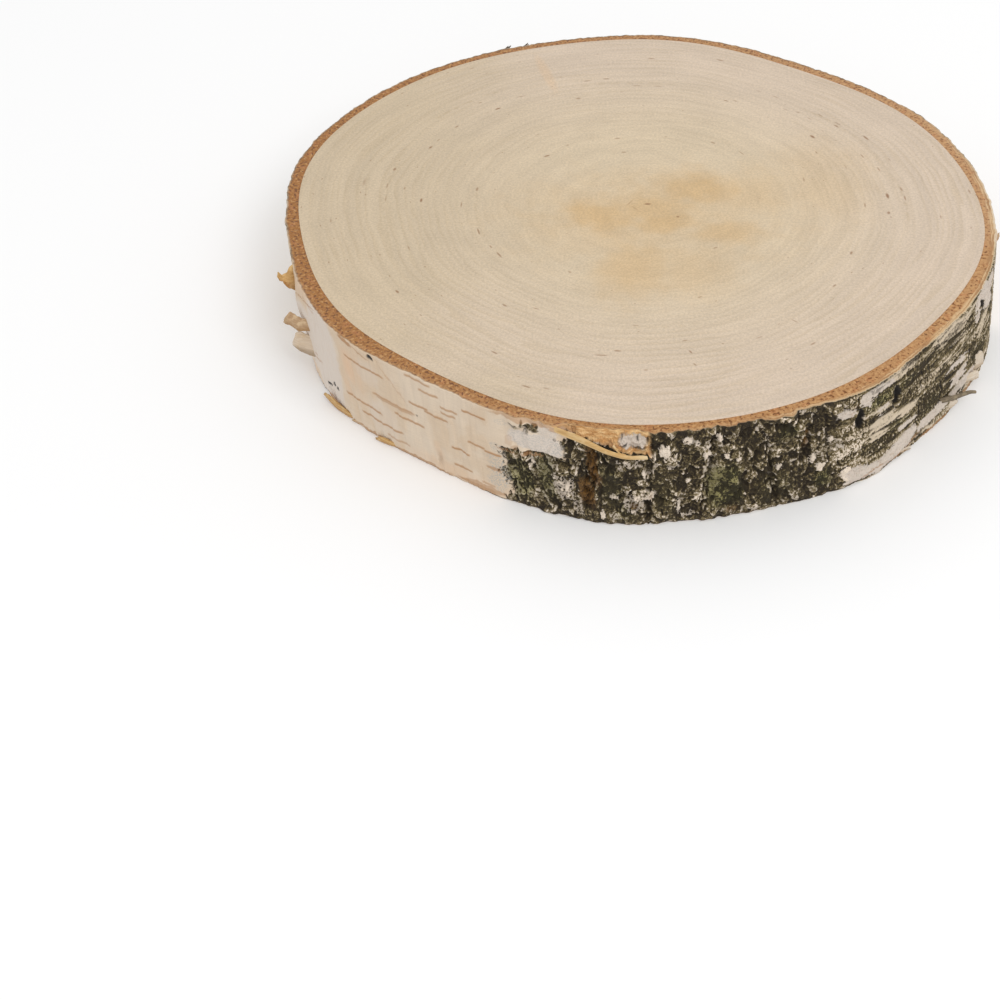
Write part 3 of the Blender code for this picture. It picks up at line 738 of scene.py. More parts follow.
def hollowsOf(raised, along, across, columns, rows, reach):
    # How far each spot lies under its surroundings, from 0 on a crest to 1 in a hollow; the bark material
    # uses it as painted shade in hollows and painted light on crests
    order = np.lexsort((along, across))
    grid = raised[order].reshape(rows + 1, columns + 1)
    deeper = blurred(blurred(grid, reach), reach) - grid
    paintedHollowShade = np.empty(raised.shape)
    paintedHollowShade[order] = np.clip(0.5 + deeper.ravel() / 0.8, 0.0, 1.0)
    return paintedHollowShade


def onlySelect(obj):
    bpy.ops.object.select_all(action="DESELECT")
    bpy.context.view_layer.objects.active = obj
    obj.select_set(True)


def addGrid(name, columns, rows):
    bpy.ops.object.select_all(action="DESELECT")
    bpy.ops.mesh.primitive_grid_add(x_subdivisions=columns, y_subdivisions=rows, size=2.0)
    obj = bpy.context.object
    obj.name = obj.data.name = name
    flat = np.empty(len(obj.data.vertices) * 3)
    obj.data.vertices.foreach_get("co", flat)
    along = np.rint((flat[0::3] + 1.0) / 2.0 * columns).astype(int)
    across = np.rint((flat[1::3] + 1.0) / 2.0 * rows).astype(int)
    return obj, along, across


def moveVertices(obj, places):
    obj.data.vertices.foreach_set("co", places.astype(np.float32).ravel())
    obj.data.update()


def storeMask(obj, name, values):
    layer = obj.data.attributes.new(name, "FLOAT", "POINT")
    layer.data.foreach_set("value", values.astype(np.float32))


def storeSpots(obj, name, spots):
    layer = obj.data.attributes.new(name, "FLOAT_VECTOR", "POINT")
    layer.data.foreach_set("vector", spots.astype(np.float32).ravel())


def closeUp(obj, capEnds):
    onlySelect(obj)
    bpy.ops.object.mode_set(mode="EDIT")
    bpy.ops.mesh.select_all(action="SELECT")
    bpy.ops.mesh.remove_doubles(threshold=1e-6)
    if capEnds:
        bpy.ops.mesh.select_all(action="DESELECT")
        bpy.ops.mesh.select_mode(type="EDGE")
        bpy.ops.mesh.select_non_manifold()
        bpy.ops.mesh.fill()
    bpy.ops.mesh.select_all(action="SELECT")
    bpy.ops.mesh.normals_make_consistent(inside=False)
    bpy.ops.object.mode_set(mode="OBJECT")


def finishPiece(obj, node, materials, sharpAngle=60.0):
    onlySelect(obj)
    bpy.ops.object.shade_smooth_by_angle(angle=math.radians(sharpAngle))
    obj.data.materials.clear()
    for material in materials:
        obj.data.materials.append(material)
    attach(obj, "root")
    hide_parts(node)
    print(obj.name, len(obj.data.polygons), "faces")


# Node tree helpers
def setInput(tree, socket, value):
    if isinstance(value, bpy.types.NodeSocket):
        tree.links.new(value, socket)
    elif isinstance(value, tuple) and len(value) == 3 and socket.type == "RGBA":
        socket.default_value = (*value, 1.0)
    else:
        socket.default_value = value


def readMask(tree, name):
    node = tree.nodes.new("ShaderNodeAttribute")
    node.attribute_name = name
    return node.outputs["Fac"]


def readSpots(tree, name):
    node = tree.nodes.new("ShaderNodeAttribute")
    node.attribute_name = name
    return node.outputs["Vector"]


def sums(tree, operation, first, second=0.0, third=0.0, clamp=False):
    node = tree.nodes.new("ShaderNodeMath")
    node.operation = operation
    node.use_clamp = clamp
    for socket, value in zip(node.inputs, (first, second, third)):
        setInput(tree, socket, value)
    return node.outputs[0]


def colourSteps(tree, value, stops):
    node = tree.nodes.new("ShaderNodeValToRGB")
    setInput(tree, node.inputs["Fac"], value)
    steps = node.color_ramp.elements
    while len(steps) < len(stops):
        steps.new(0.5)
    for step, (place, colour) in zip(steps, stops):
        step.position = place
        step.color = (*colour, 1.0)
    return node.outputs["Color"]


def blendColours(tree, factor, first, second, mode="MIX"):
    node = tree.nodes.new("ShaderNodeMix")
    node.data_type = "RGBA"
    node.blend_type = mode
    setInput(tree, node.inputs[0], factor)
    setInput(tree, node.inputs[6], first)
    setInput(tree, node.inputs[7], second)
    return node.outputs[2]


def stretch(tree, vector, scale, place=(0.0, 0.0, 0.0)):
    node = tree.nodes.new("ShaderNodeMapping")
    setInput(tree, node.inputs["Vector"], vector)
    node.inputs["Scale"].default_value = scale
    node.inputs["Location"].default_value = place
    return node.outputs[0]


def noiseNode(tree, vector, scale, detail=2.0, roughness=0.5, distortion=0.0):
    node = tree.nodes.new("ShaderNodeTexNoise")
    setInput(tree, node.inputs["Vector"], vector)
    node.inputs["Scale"].default_value = scale
    node.inputs["Detail"].default_value = detail
    node.inputs["Roughness"].default_value = roughness
    node.inputs["Distortion"].default_value = distortion
    return node.outputs["Fac"]


def remap(tree, value, low, high, start=0.0, end=1.0):
    node = tree.nodes.new("ShaderNodeMapRange")
    node.interpolation_type = "SMOOTHSTEP"
    setInput(tree, node.inputs["Value"], value)
    node.inputs["From Min"].default_value = low
    node.inputs["From Max"].default_value = high
    node.inputs["To Min"].default_value = start
    node.inputs["To Max"].default_value = end
    return node.outputs[0]


def bumpNode(tree, height, distance, strength=1.0):
    node = tree.nodes.new("ShaderNodeBump")
    node.inputs["Strength"].default_value = strength
    node.inputs["Distance"].default_value = distance
    setInput(tree, node.inputs["Height"], height)
    return node.outputs[0]


def newGroup(name, inputs, outputs):
    tree = bpy.data.node_groups.new(name, "ShaderNodeTree")
    for socketName, kind in inputs:
        tree.interface.new_socket(socketName, in_out="INPUT", socket_type=kind)
    for socketName, kind in outputs:
        tree.interface.new_socket(socketName, in_out="OUTPUT", socket_type=kind)
    return tree, tree.nodes.new("NodeGroupInput").outputs, tree.nodes.new("NodeGroupOutput").inputs


def placeGroup(tree, group, values):
    node = tree.nodes.new("ShaderNodeGroup")
    node.node_tree = group
    for name, value in values.items():
        setInput(tree, node.inputs[name], value)
    return node.outputs


def newMaterial(name, roughness):
    material = bpy.data.materials.new(name)
    material.use_nodes = True
    shader = material.node_tree.nodes["Principled BSDF"]
    shader.inputs["Roughness"].default_value = roughness
    return material, material.node_tree, shader


def paint(red, green, blue, light=1.0):
    # A colour as it shows on a screen, under a light of the given strength, as the material's own colour
    return tuple((((value / 255.0 + 0.055) / 1.055) ** 2.4) / light for value in (red, green, blue))


wallLight = 0.92
faceLight = 1.05

woodTints = {
    "pale": paint(211, 192, 163, faceLight),
    "heart": paint(205, 174, 129, faceLight),
    "outer": paint(210, 191, 170, faceLight),
    "left": paint(202, 183, 155, faceLight),
    "latewood": paint(186, 164, 130, faceLight),
    "fleck": paint(134, 90, 50, faceLight),
    "radial": paint(214, 184, 150, faceLight),
}
ringTints = {
    "body": paint(187, 142, 96, faceLight),
    "bodyLeft": paint(160, 106, 46, faceLight),
    "deep": paint(136, 86, 40, faceLight),
    "light": paint(215, 171, 116, faceLight),
    "red": paint(184, 120, 76, faceLight),
    "layers": paint(210, 177, 134, faceLight),
    "between": paint(170, 128, 86, faceLight),
    "edge": paint(222, 200, 164, faceLight),
    "rim": paint(120, 92, 58, faceLight),
    "speck": paint(108, 64, 30, faceLight),
    "cambium": paint(130, 84, 42, faceLight),
}
# Share of pale outer layers in the sawn bark, at these directions
layerDirections = (-14, 4, 20, 40, 190, 204, 246, 262, 270, 284, 296, 346)
layerShares = (1.0, 0.9, 0.4, 0.0, 0.0, 0.1, 0.15, 0.35, 0.25, 0.3, 0.8, 1.0)
wallTints = {
    "paper": paint(208, 190, 168, wallLight),
    "paperWarm": paint(202, 180, 154, wallLight),
    "peach": paint(214, 176, 142, wallLight),
    "white": paint(205, 192, 179, wallLight),
    "corky": paint(164, 122, 82, wallLight),
    "dark": paint(73, 61, 34, wallLight),
    "grey": paint(130, 114, 80, wallLight),
    "pale": paint(230, 214, 196, wallLight),
    "worn": paint(188, 170, 143, wallLight),
    "cream": paint(204, 187, 163, wallLight),
    "moss": paint(52, 48, 22, wallLight),
    "mossLight": paint(140, 132, 82, wallLight),
    "rust": paint(116, 82, 36, wallLight),
    "rustDeep": paint(50, 33, 14, wallLight),
    # crack is the bark's dark fissure colour, and partly painted shade at the bottom of the tone steps
    "crack": paint(36, 26, 12, wallLight),
    "torn": paint(222, 184, 132, wallLight),
    "tornDeep": paint(194, 144, 90, wallLight),
    "lichen": paint(166, 162, 154, wallLight),
    "black": paint(28, 22, 16, wallLight),
}


def makePaperGroup():
    group, given, out = newGroup(
        "birchPaper",
        (("Spot", "NodeSocketVector"), ("Warmth", "NodeSocketFloat")),
        (("Colour", "NodeSocketColor"), ("Height", "NodeSocketFloat")),
    )
    upright = noiseNode(group, stretch(group, given["Spot"], (1.1, 0.10, 0.3)), 1.0, 3.0, 0.6)
    level = noiseNode(group, stretch(group, given["Spot"], (0.14, 2.6, 0.3)), 1.0, 3.0, 0.6)
    cloud = noiseNode(group, stretch(group, given["Spot"], (0.10, 0.08, 0.1)), 1.0, 2.0, 0.5)
    fine = noiseNode(group, given["Spot"], 3.2, 2.0, 0.6)
    warmth = sums(group, "ADD", given["Warmth"], remap(group, cloud, 0.35, 0.75, -0.1, 0.5))
    warmth = sums(group, "ADD", warmth, 0.0, 0.0, True)
    colour = blendColours(group, warmth, wallTints["paper"], wallTints["paperWarm"])
    shade = remap(group, upright, 0.25, 0.8, 0.97, 1.02)
    shade = sums(group, "MULTIPLY", shade, remap(group, level, 0.25, 0.8, 0.955, 1.035))
    shade = sums(group, "MULTIPLY", shade, remap(group, fine, 0.2, 0.8, 0.95, 1.045))
    group.links.new(blendColours(group, 1.0, colour, shade, "MULTIPLY"), out["Colour"])
    group.links.new(sums(group, "ADD", level, sums(group, "MULTIPLY", upright, 0.6)), out["Height"])
    return group


def makeSawnBarkGroup():
    # The inner bark where the saw cut it: short fibres, dark specks, and pale layers outside or a dark rim
    group, given, out = newGroup(
        "sawnBark",
        (
            ("Spot", "NodeSocketVector"),
            ("Depth", "NodeSocketFloat"),
            ("Inner", "NodeSocketFloat"),
            ("Side", "NodeSocketFloat"),
            ("Layered", "NodeSocketFloat"),
        ),
        (("Colour", "NodeSocketColor"), ("Height", "NodeSocketFloat")),
    )
    grains = noiseNode(group, stretch(group, given["Spot"], (1.0, 0.4, 0.95)), 1.0, 2.0, 0.6)
    specks = noiseNode(group, stretch(group, given["Spot"], (1.0, 0.3, 1.0), (9.0, 0.0, 4.0)), 1.0, 1.0, 0.5)
    clouds = noiseNode(group, stretch(group, given["Spot"], (0.35, 0.1, 0.4)), 1.0, 2.0, 0.5)
    colour = blendColours(group, given["Side"], ringTints["bodyLeft"], ringTints["body"])
    colour = blendColours(group, remap(group, clouds, 0.52, 0.68, 0.0, 0.45), colour, ringTints["red"])
    colour = blendColours(group, remap(group, grains, 0.50, 0.32, 0.0, 0.75), colour, ringTints["deep"])
    colour = blendColours(group, remap(group, grains, 0.52, 0.68, 0.0, 0.5), colour, ringTints["light"])

    lines = noiseNode(group, stretch(group, given["Spot"], (0.08, 0.02, 2.4)), 1.0, 2.0, 0.5)
    unevenDepth = sums(group, "MULTIPLY_ADD", sums(group, "SUBTRACT", clouds, 0.5), 2.0, given["Depth"])
    outside = sums(group, "MULTIPLY", remap(group, unevenDepth, 2.2, 1.3), given["Layered"])
    banded = blendColours(group, remap(group, lines, 0.42, 0.54), ringTints["between"], ringTints["layers"])
    colour = blendColours(group, outside, colour, banded)
    specks = sums(group, "MULTIPLY_ADD", given["Side"], 0.05, specks)
    speckCover = remap(group, specks, 0.46, 0.38, 0.0, 0.85)
    inside = sums(group, "SUBTRACT", 1.0, sums(group, "MULTIPLY", outside, 0.8))
    speckCover = sums(group, "MULTIPLY", speckCover, inside)
    colour = blendColours(group, speckCover, colour, ringTints["speck"])
    edge = sums(group, "MULTIPLY", remap(group, given["Depth"], 0.75, 0.4), given["Layered"])
    colour = blendColours(group, edge, colour, ringTints["edge"])
    bare = sums(group, "SUBTRACT", 0.8, given["Layered"], 0.0, True)
    bare = sums(group, "MULTIPLY", bare, remap(group, grains, 0.35, 0.6, 1.0, 0.5))
    rim = sums(group, "MULTIPLY", remap(group, given["Depth"], 0.9, 0.3), bare)
    colour = blendColours(group, rim, colour, ringTints["rim"])
    uneven = remap(group, clouds, 0.35, 0.6, 0.65, 0.2)
    dull = sums(group, "MULTIPLY", remap(group, given["Inner"], 0.5, 0.1), uneven)
    colour = blendColours(group, dull, colour, ringTints["cambium"])
    group.links.new(colour, out["Colour"])
    group.links.new(sums(group, "ADD", grains, sums(group, "MULTIPLY", specks, 0.7)), out["Height"])
    return group


# Dashes on the sawn face that the photo shows one by one: x, y, turn, half length, half width, strength
dashTable = (
    (4.2, 0.8, 0, 1.1, 0.45, 1.0),
    (-1.0, 1.6, 60, 2.4, 0.3, 0.35),
    (0.4, -1.4, 130, 2.0, 0.3, 0.3),
    (13.0, -6.0, 0, 0.5, 0.4, 0.9),
    (75.0, 5.0, 95, 1.5, 0.5, 1.0),
    (79.5, 8.0, 100, 1.8, 0.35, 0.7),
    (80.0, 4.0, 93, 1.6, 0.3, 0.7),
    (74.5, -4.0, 88, 0.8, 0.5, 0.8),
    (68.0, 0.0, 90, 1.3, 0.3, 0.6),
    (71.5, 37.5, 120, 1.5, 0.4, 0.9),
    (55.2, 38.3, 125, 1.2, 0.5, 1.0),
    (63.5, 46.0, 130, 1.6, 0.25, 0.6),
    (58.5, 51.0, 130, 1.3, 0.25, 0.5),
    (51.0, 53.2, 150, 2.0, 0.3, 0.7),
    (48.0, 54.5, 140, 1.1, 0.3, 0.5),
    (55.0, 49.0, 135, 1.0, 0.25, 0.5),
    (45.0, 62.5, 145, 1.6, 0.25, 0.5),
    (40.0, 66.0, 150, 1.1, 0.25, 0.4),
    (69.5, 27.0, 110, 1.2, 0.3, 0.6),
    (73.8, 19.5, 105, 1.3, 0.3, 0.6),
    (64.0, 21.0, 105, 1.5, 0.2, 0.4),
    (77.5, 25.0, 108, 1.0, 0.25, 0.45),
    (51.0, 14.0, 95, 1.2, 0.3, 0.5),
    (24.5, 35.0, 140, 1.0, 0.4, 0.6),
    (33.0, 29.0, 125, 1.6, 0.25, 0.5),
    (62.0, -24.5, 70, 0.9, 0.4, 0.8),
    (56.0, -40.5, 50, 0.9, 0.3, 0.7),
    (44.0, -57.0, 140, 1.2, 0.25, 0.5),
    (34.0, -64.5, 30, 1.2, 0.25, 0.5),
    (23.5, -22.0, 30, 0.8, 0.35, 0.6),
    (18.5, -46.0, 30, 0.7, 0.3, 0.6),
    (14.0, -66.0, 15, 0.8, 0.3, 0.6),
    (15.4, -71.0, 120, 0.9, 0.3, 0.8),
    (16.4, -76.5, 120, 0.8, 0.3, 0.6),
    (-8.6, -72.6, 175, 2.0, 0.3, 0.7),
    (0.6, -59.2, 175, 1.1, 0.25, 0.5),
    (3.4, -79.0, 0, 0.6, 0.4, 0.5),
    (-27.0, -51.5, 155, 1.1, 0.3, 0.6),
    (-18.0, -34.0, 130, 0.7, 0.4, 0.5),
    (-66.4, -43.6, 125, 0.9, 0.4, 0.9),
    (-65.0, -22.0, 110, 1.2, 0.25, 0.5),
    (-38.6, -25.4, 120, 1.8, 0.35, 0.7),
    (-41.2, -21.4, 115, 0.9, 0.3, 0.6),
    (-45.2, -13.6, 105, 1.8, 0.3, 0.8),
    (-51.2, 0.6, 90, 1.6, 0.25, 0.6),
    (-47.0, 9.0, 85, 1.1, 0.4, 0.7),
    (-63.4, 3.0, 88, 1.1, 0.4, 1.0),
    (-69.0, 9.6, 85, 0.8, 0.3, 0.6),
    (-74.4, 11.0, 85, 1.4, 0.25, 0.55),
    (-74.2, 4.0, 88, 1.8, 0.2, 0.5),
    (-73.0, 20.2, 75, 0.9, 0.5, 0.8),
    (-81.6, 13.0, 85, 2.4, 0.5, 0.35),
    (-62.8, 33.0, 60, 1.3, 0.4, 0.9),
    (-60.8, 37.0, 60, 0.7, 0.3, 0.5),
    (-55.6, 45.0, 50, 0.9, 0.35, 0.7),
    (-43.2, 55.8, 35, 1.1, 0.4, 1.0),
    (-46.0, 53.6, 38, 1.0, 0.25, 0.4),
    (-36.0, 63.4, 20, 1.8, 0.25, 0.6),
    (-49.0, 59.6, 35, 0.8, 0.35, 0.5),
    (-53.0, 81.6, 30, 0.9, 0.3, 0.5),
    (-30.0, 40.0, 30, 0.9, 0.25, 0.4),
    (-26.6, 27.6, 30, 1.1, 0.4, 0.9),
    (-5.0, 37.6, 10, 0.9, 0.4, 0.6),
    (-3.0, 29.6, 0, 0.8, 0.4, 0.6),
    (-15.0, 73.0, 12, 1.4, 0.35, 0.6),
    (1.0, 69.8, 178, 1.5, 0.3, 0.5),
    (8.0, 69.4, 172, 1.5, 0.3, 0.5),
)
# Growth rings: how wide and uneven they are, and how dark the late wood is
growthRings = {"pitch": 2.4, "uneven": 5.0, "late": 0.32}
# Stretches of rings that show darker: ring, middle and half of the stretch in degrees, strength
arcTable = (
    (77.6, 20.0, 34.0, 0.55),
    (79.0, 132.0, 14.0, 0.6),
    (71.0, 92.0, 17.0, 0.5),
    (75.0, 178.0, 24.0, 0.4),
    (49.0, 186.0, 22.0, 0.4),
    (66.0, 96.0, 14.0, 0.35),
    (52.0, 82.0, 22.0, 0.3),
    (60.0, 268.0, 24.0, 0.35),
    (69.0, 30.0, 26.0, 0.3),
    (88.0, 305.0, 26.0, 0.3),
    (93.0, 285.0, 36.0, 0.25),
)
# A long thin streak that runs along a radius of the wood
heartStreak = {"place": (-28.5, 78.0, 0.0), "turn": 107.0, "size": (15.0, 2.2, 1.0), "strength": 0.5}
# Stained patches round the heart: x, y, half width, half height, strength
stainTable = (
    (6.0, -6.0, 36.0, 22.0, 0.5),
    (-10.0, -6.0, 13.0, 10.0, 1.0),
    (5.0, -1.0, 19.0, 12.0, 0.9),
    (18.0, 9.0, 14.0, 10.0, 1.0),
    (10.0, -9.0, 13.0, 7.0, 1.0),
    (26.0, -14.0, 14.0, 7.0, 0.8),
    (0.0, -31.0, 12.0, 16.0, 0.75),
    (16.0, -32.0, 12.0, 13.0, 0.5),
    (34.0, 6.0, 15.0, 14.0, 0.5),
    (56.0, 12.0, 14.0, 22.0, 0.35),
)
# Scattered flecks: size across and along the rings, place in the pattern, share left bare, strength
fleckLayers = (
    ((0.7, 0.16, 0.16), 0.0, 0.986, 0.6),
    ((1.3, 0.42, 0.42), 40.0, 0.984, 0.5),
)


def makeWoodMaterial():
    material, tree, shader = newMaterial("sawnBirch", 0.62)
    spots = tree.nodes.new("ShaderNodeTexCoord").outputs["Object"]
    spots = stretch(tree, spots, (1000.0, 1000.0, 1000.0))
    ring = readMask(tree, "ring")
    around = readSpots(tree, "around")

    # Rings wander a little, and come and go round the trunk
    wander = sums(tree, "MULTIPLY", sums(tree, "SUBTRACT", noiseNode(tree, spots, 0.045, 2.0), 0.5), 3.0)
    ring = sums(tree, "ADD", ring, wander)
    combine = tree.nodes.new("ShaderNodeCombineXYZ")
    setInput(tree, combine.inputs[0], ring)
    ringSpot = combine.outputs[0]
    addAround = tree.nodes.new("ShaderNodeVectorMath")
    addAround.operation = "ADD"
    tree.links.new(ringSpot, addAround.inputs[0])
    tree.links.new(around, addAround.inputs[1])
    ringSpace = addAround.outputs[0]

    bands = noiseNode(tree, stretch(tree, ringSpace, (0.22, 0.02, 0.02)), 1.0, 3.0, 0.65)
    fineLines = noiseNode(tree, stretch(tree, ringSpace, (2.2, 0.09, 0.09)), 1.0, 1.0, 0.5)
    showing = remap(tree, noiseNode(tree, spots, 0.035, 1.0), 0.35, 0.65, 0.35, 1.0)
    shift = noiseNode(tree, stretch(tree, ringSpace, (0.09, 0.008, 0.008)), 1.0, 3.0, 0.6)
    shift = sums(tree, "MULTIPLY", shift, growthRings["uneven"])
    growth = sums(tree, "FRACT", sums(tree, "MULTIPLY_ADD", ring, 1.0 / growthRings["pitch"], shift))
    late = sums(tree, "MULTIPLY", remap(tree, growth, 0.3, 0.9), remap(tree, growth, 1.0, 0.93))
    late = sums(tree, "MULTIPLY", sums(tree, "MULTIPLY", late, growthRings["late"]), showing)
    late = sums(tree, "MULTIPLY", late, remap(tree, ring, 25.0, 88.0, 0.3, 1.0))
    dots = noiseNode(tree, stretch(tree, ringSpace, (0.5, 0.3, 0.3)), 1.0, 2.0, 0.6)
    arcs = sums(tree, "MULTIPLY", readMask(tree, "arcs"), remap(tree, dots, 0.38, 0.60))
    late = sums(tree, "MAXIMUM", late, arcs)
    fineMask = sums(tree, "MULTIPLY", remap(tree, fineLines, 0.56, 0.74), showing)

    outward = remap(tree, ring, 30.0, 95.0)
    colour = blendColours(tree, outward, woodTints["pale"], woodTints["outer"])
    # Painted shade: the sawn face darkens towards the left, away from the key light
    split = tree.nodes.new("ShaderNodeSeparateXYZ")
    tree.links.new(spots, split.inputs[0])
    drift = sums(tree, "SUBTRACT", noiseNode(tree, spots, 0.02, 2.0), 0.5)
    side = sums(tree, "MULTIPLY_ADD", drift, 90.0, split.outputs[0])
    colour = blendColours(tree, remap(tree, side, -10.0, -75.0), colour, woodTints["left"])

    # The stain round the heart
    stain = readMask(tree, "stain")
    colour = blendColours(tree, stain, colour, woodTints["heart"])

    colour = blendColours(tree, late, colour, woodTints["latewood"])
    colour = blendColours(tree, sums(tree, "MULTIPLY", fineMask, 0.14), colour, woodTints["latewood"])
    streak = tree.nodes.new("ShaderNodeMapping")
    streak.vector_type = "TEXTURE"
    tree.links.new(stretch(tree, spots, (1.0, 1.0, 0.0)), streak.inputs["Vector"])
    streak.inputs["Location"].default_value = heartStreak["place"]
    streak.inputs["Rotation"].default_value = (0.0, 0.0, math.radians(heartStreak["turn"]))
    streak.inputs["Scale"].default_value = heartStreak["size"]
    streakFar = tree.nodes.new("ShaderNodeVectorMath")
    streakFar.operation = "LENGTH"
    tree.links.new(streak.outputs[0], streakFar.inputs[0])
    streaked = remap(tree, streakFar.outputs["Value"], 1.1, 0.4, 0.0, heartStreak["strength"])
    colour = blendColours(tree, streaked, colour, woodTints["radial"])
    shade = remap(tree, bands, 0.25, 0.75, 0.94, 1.045)
    mottle = noiseNode(tree, spots, 0.12, 3.0, 0.6)
    shade = sums(tree, "MULTIPLY", shade, remap(tree, mottle, 0.25, 0.75, 0.975, 1.02))
    grain = noiseNode(tree, spots, 1.4, 2.0, 0.8)
    shade = sums(tree, "MULTIPLY", shade, remap(tree, grain, 0.30, 0.70, 0.89, 1.105))
    colour = blendColours(tree, 1.0, colour, shade, "MULTIPLY")

    # Small brown flecks along the rings, most of them in the outer half
    flecks = None
    for size, place, share, strength in fleckLayers:
        cell = tree.nodes.new("ShaderNodeTexVoronoi")
        setInput(tree, cell.inputs["Vector"], stretch(tree, ringSpace, size, (place, 0.0, 0.0)))
        cell.inputs["Scale"].default_value = 1.0
        drawn = tree.nodes.new("ShaderNodeSeparateColor")
        tree.links.new(cell.outputs["Color"], drawn.inputs[0])
        chosen = sums(tree, "GREATER_THAN", drawn.outputs[0], share)
        spot = remap(tree, cell.outputs["Distance"], 0.32, 0.12)
        spot = sums(tree, "MULTIPLY", sums(tree, "MULTIPLY", spot, chosen), strength)
        flecks = spot if flecks is None else sums(tree, "MAXIMUM", flecks, spot)
    flecks = sums(tree, "MULTIPLY", flecks, remap(tree, ring, 25.0, 55.0, 0.25, 1.0))

    far = tree.nodes.new("ShaderNodeVectorMath")
    far.operation = "LENGTH"
    tree.links.new(readSpots(tree, "dashSpot"), far.inputs[0])
    dashes = remap(tree, far.outputs["Value"], 1.3, 0.4, 0.0, 0.8)
    flecks = sums(tree, "MAXIMUM", flecks, sums(tree, "MULTIPLY", dashes, readMask(tree, "dashes")))
    colour = blendColours(tree, flecks, colour, woodTints["fleck"])
    tree.links.new(colour, shader.inputs["Base Color"])
    tree.links.new(remap(tree, grain, 0.3, 0.7, 0.56, 0.68), shader.inputs["Roughness"])
    height = sums(tree, "ADD", grain, sums(tree, "MULTIPLY", growth, 0.2))
    height = sums(tree, "SUBTRACT", height, sums(tree, "MULTIPLY", flecks, 1.5))
    tree.links.new(bumpNode(tree, height, 0.00005, 0.8), shader.inputs["Normal"])
    return material


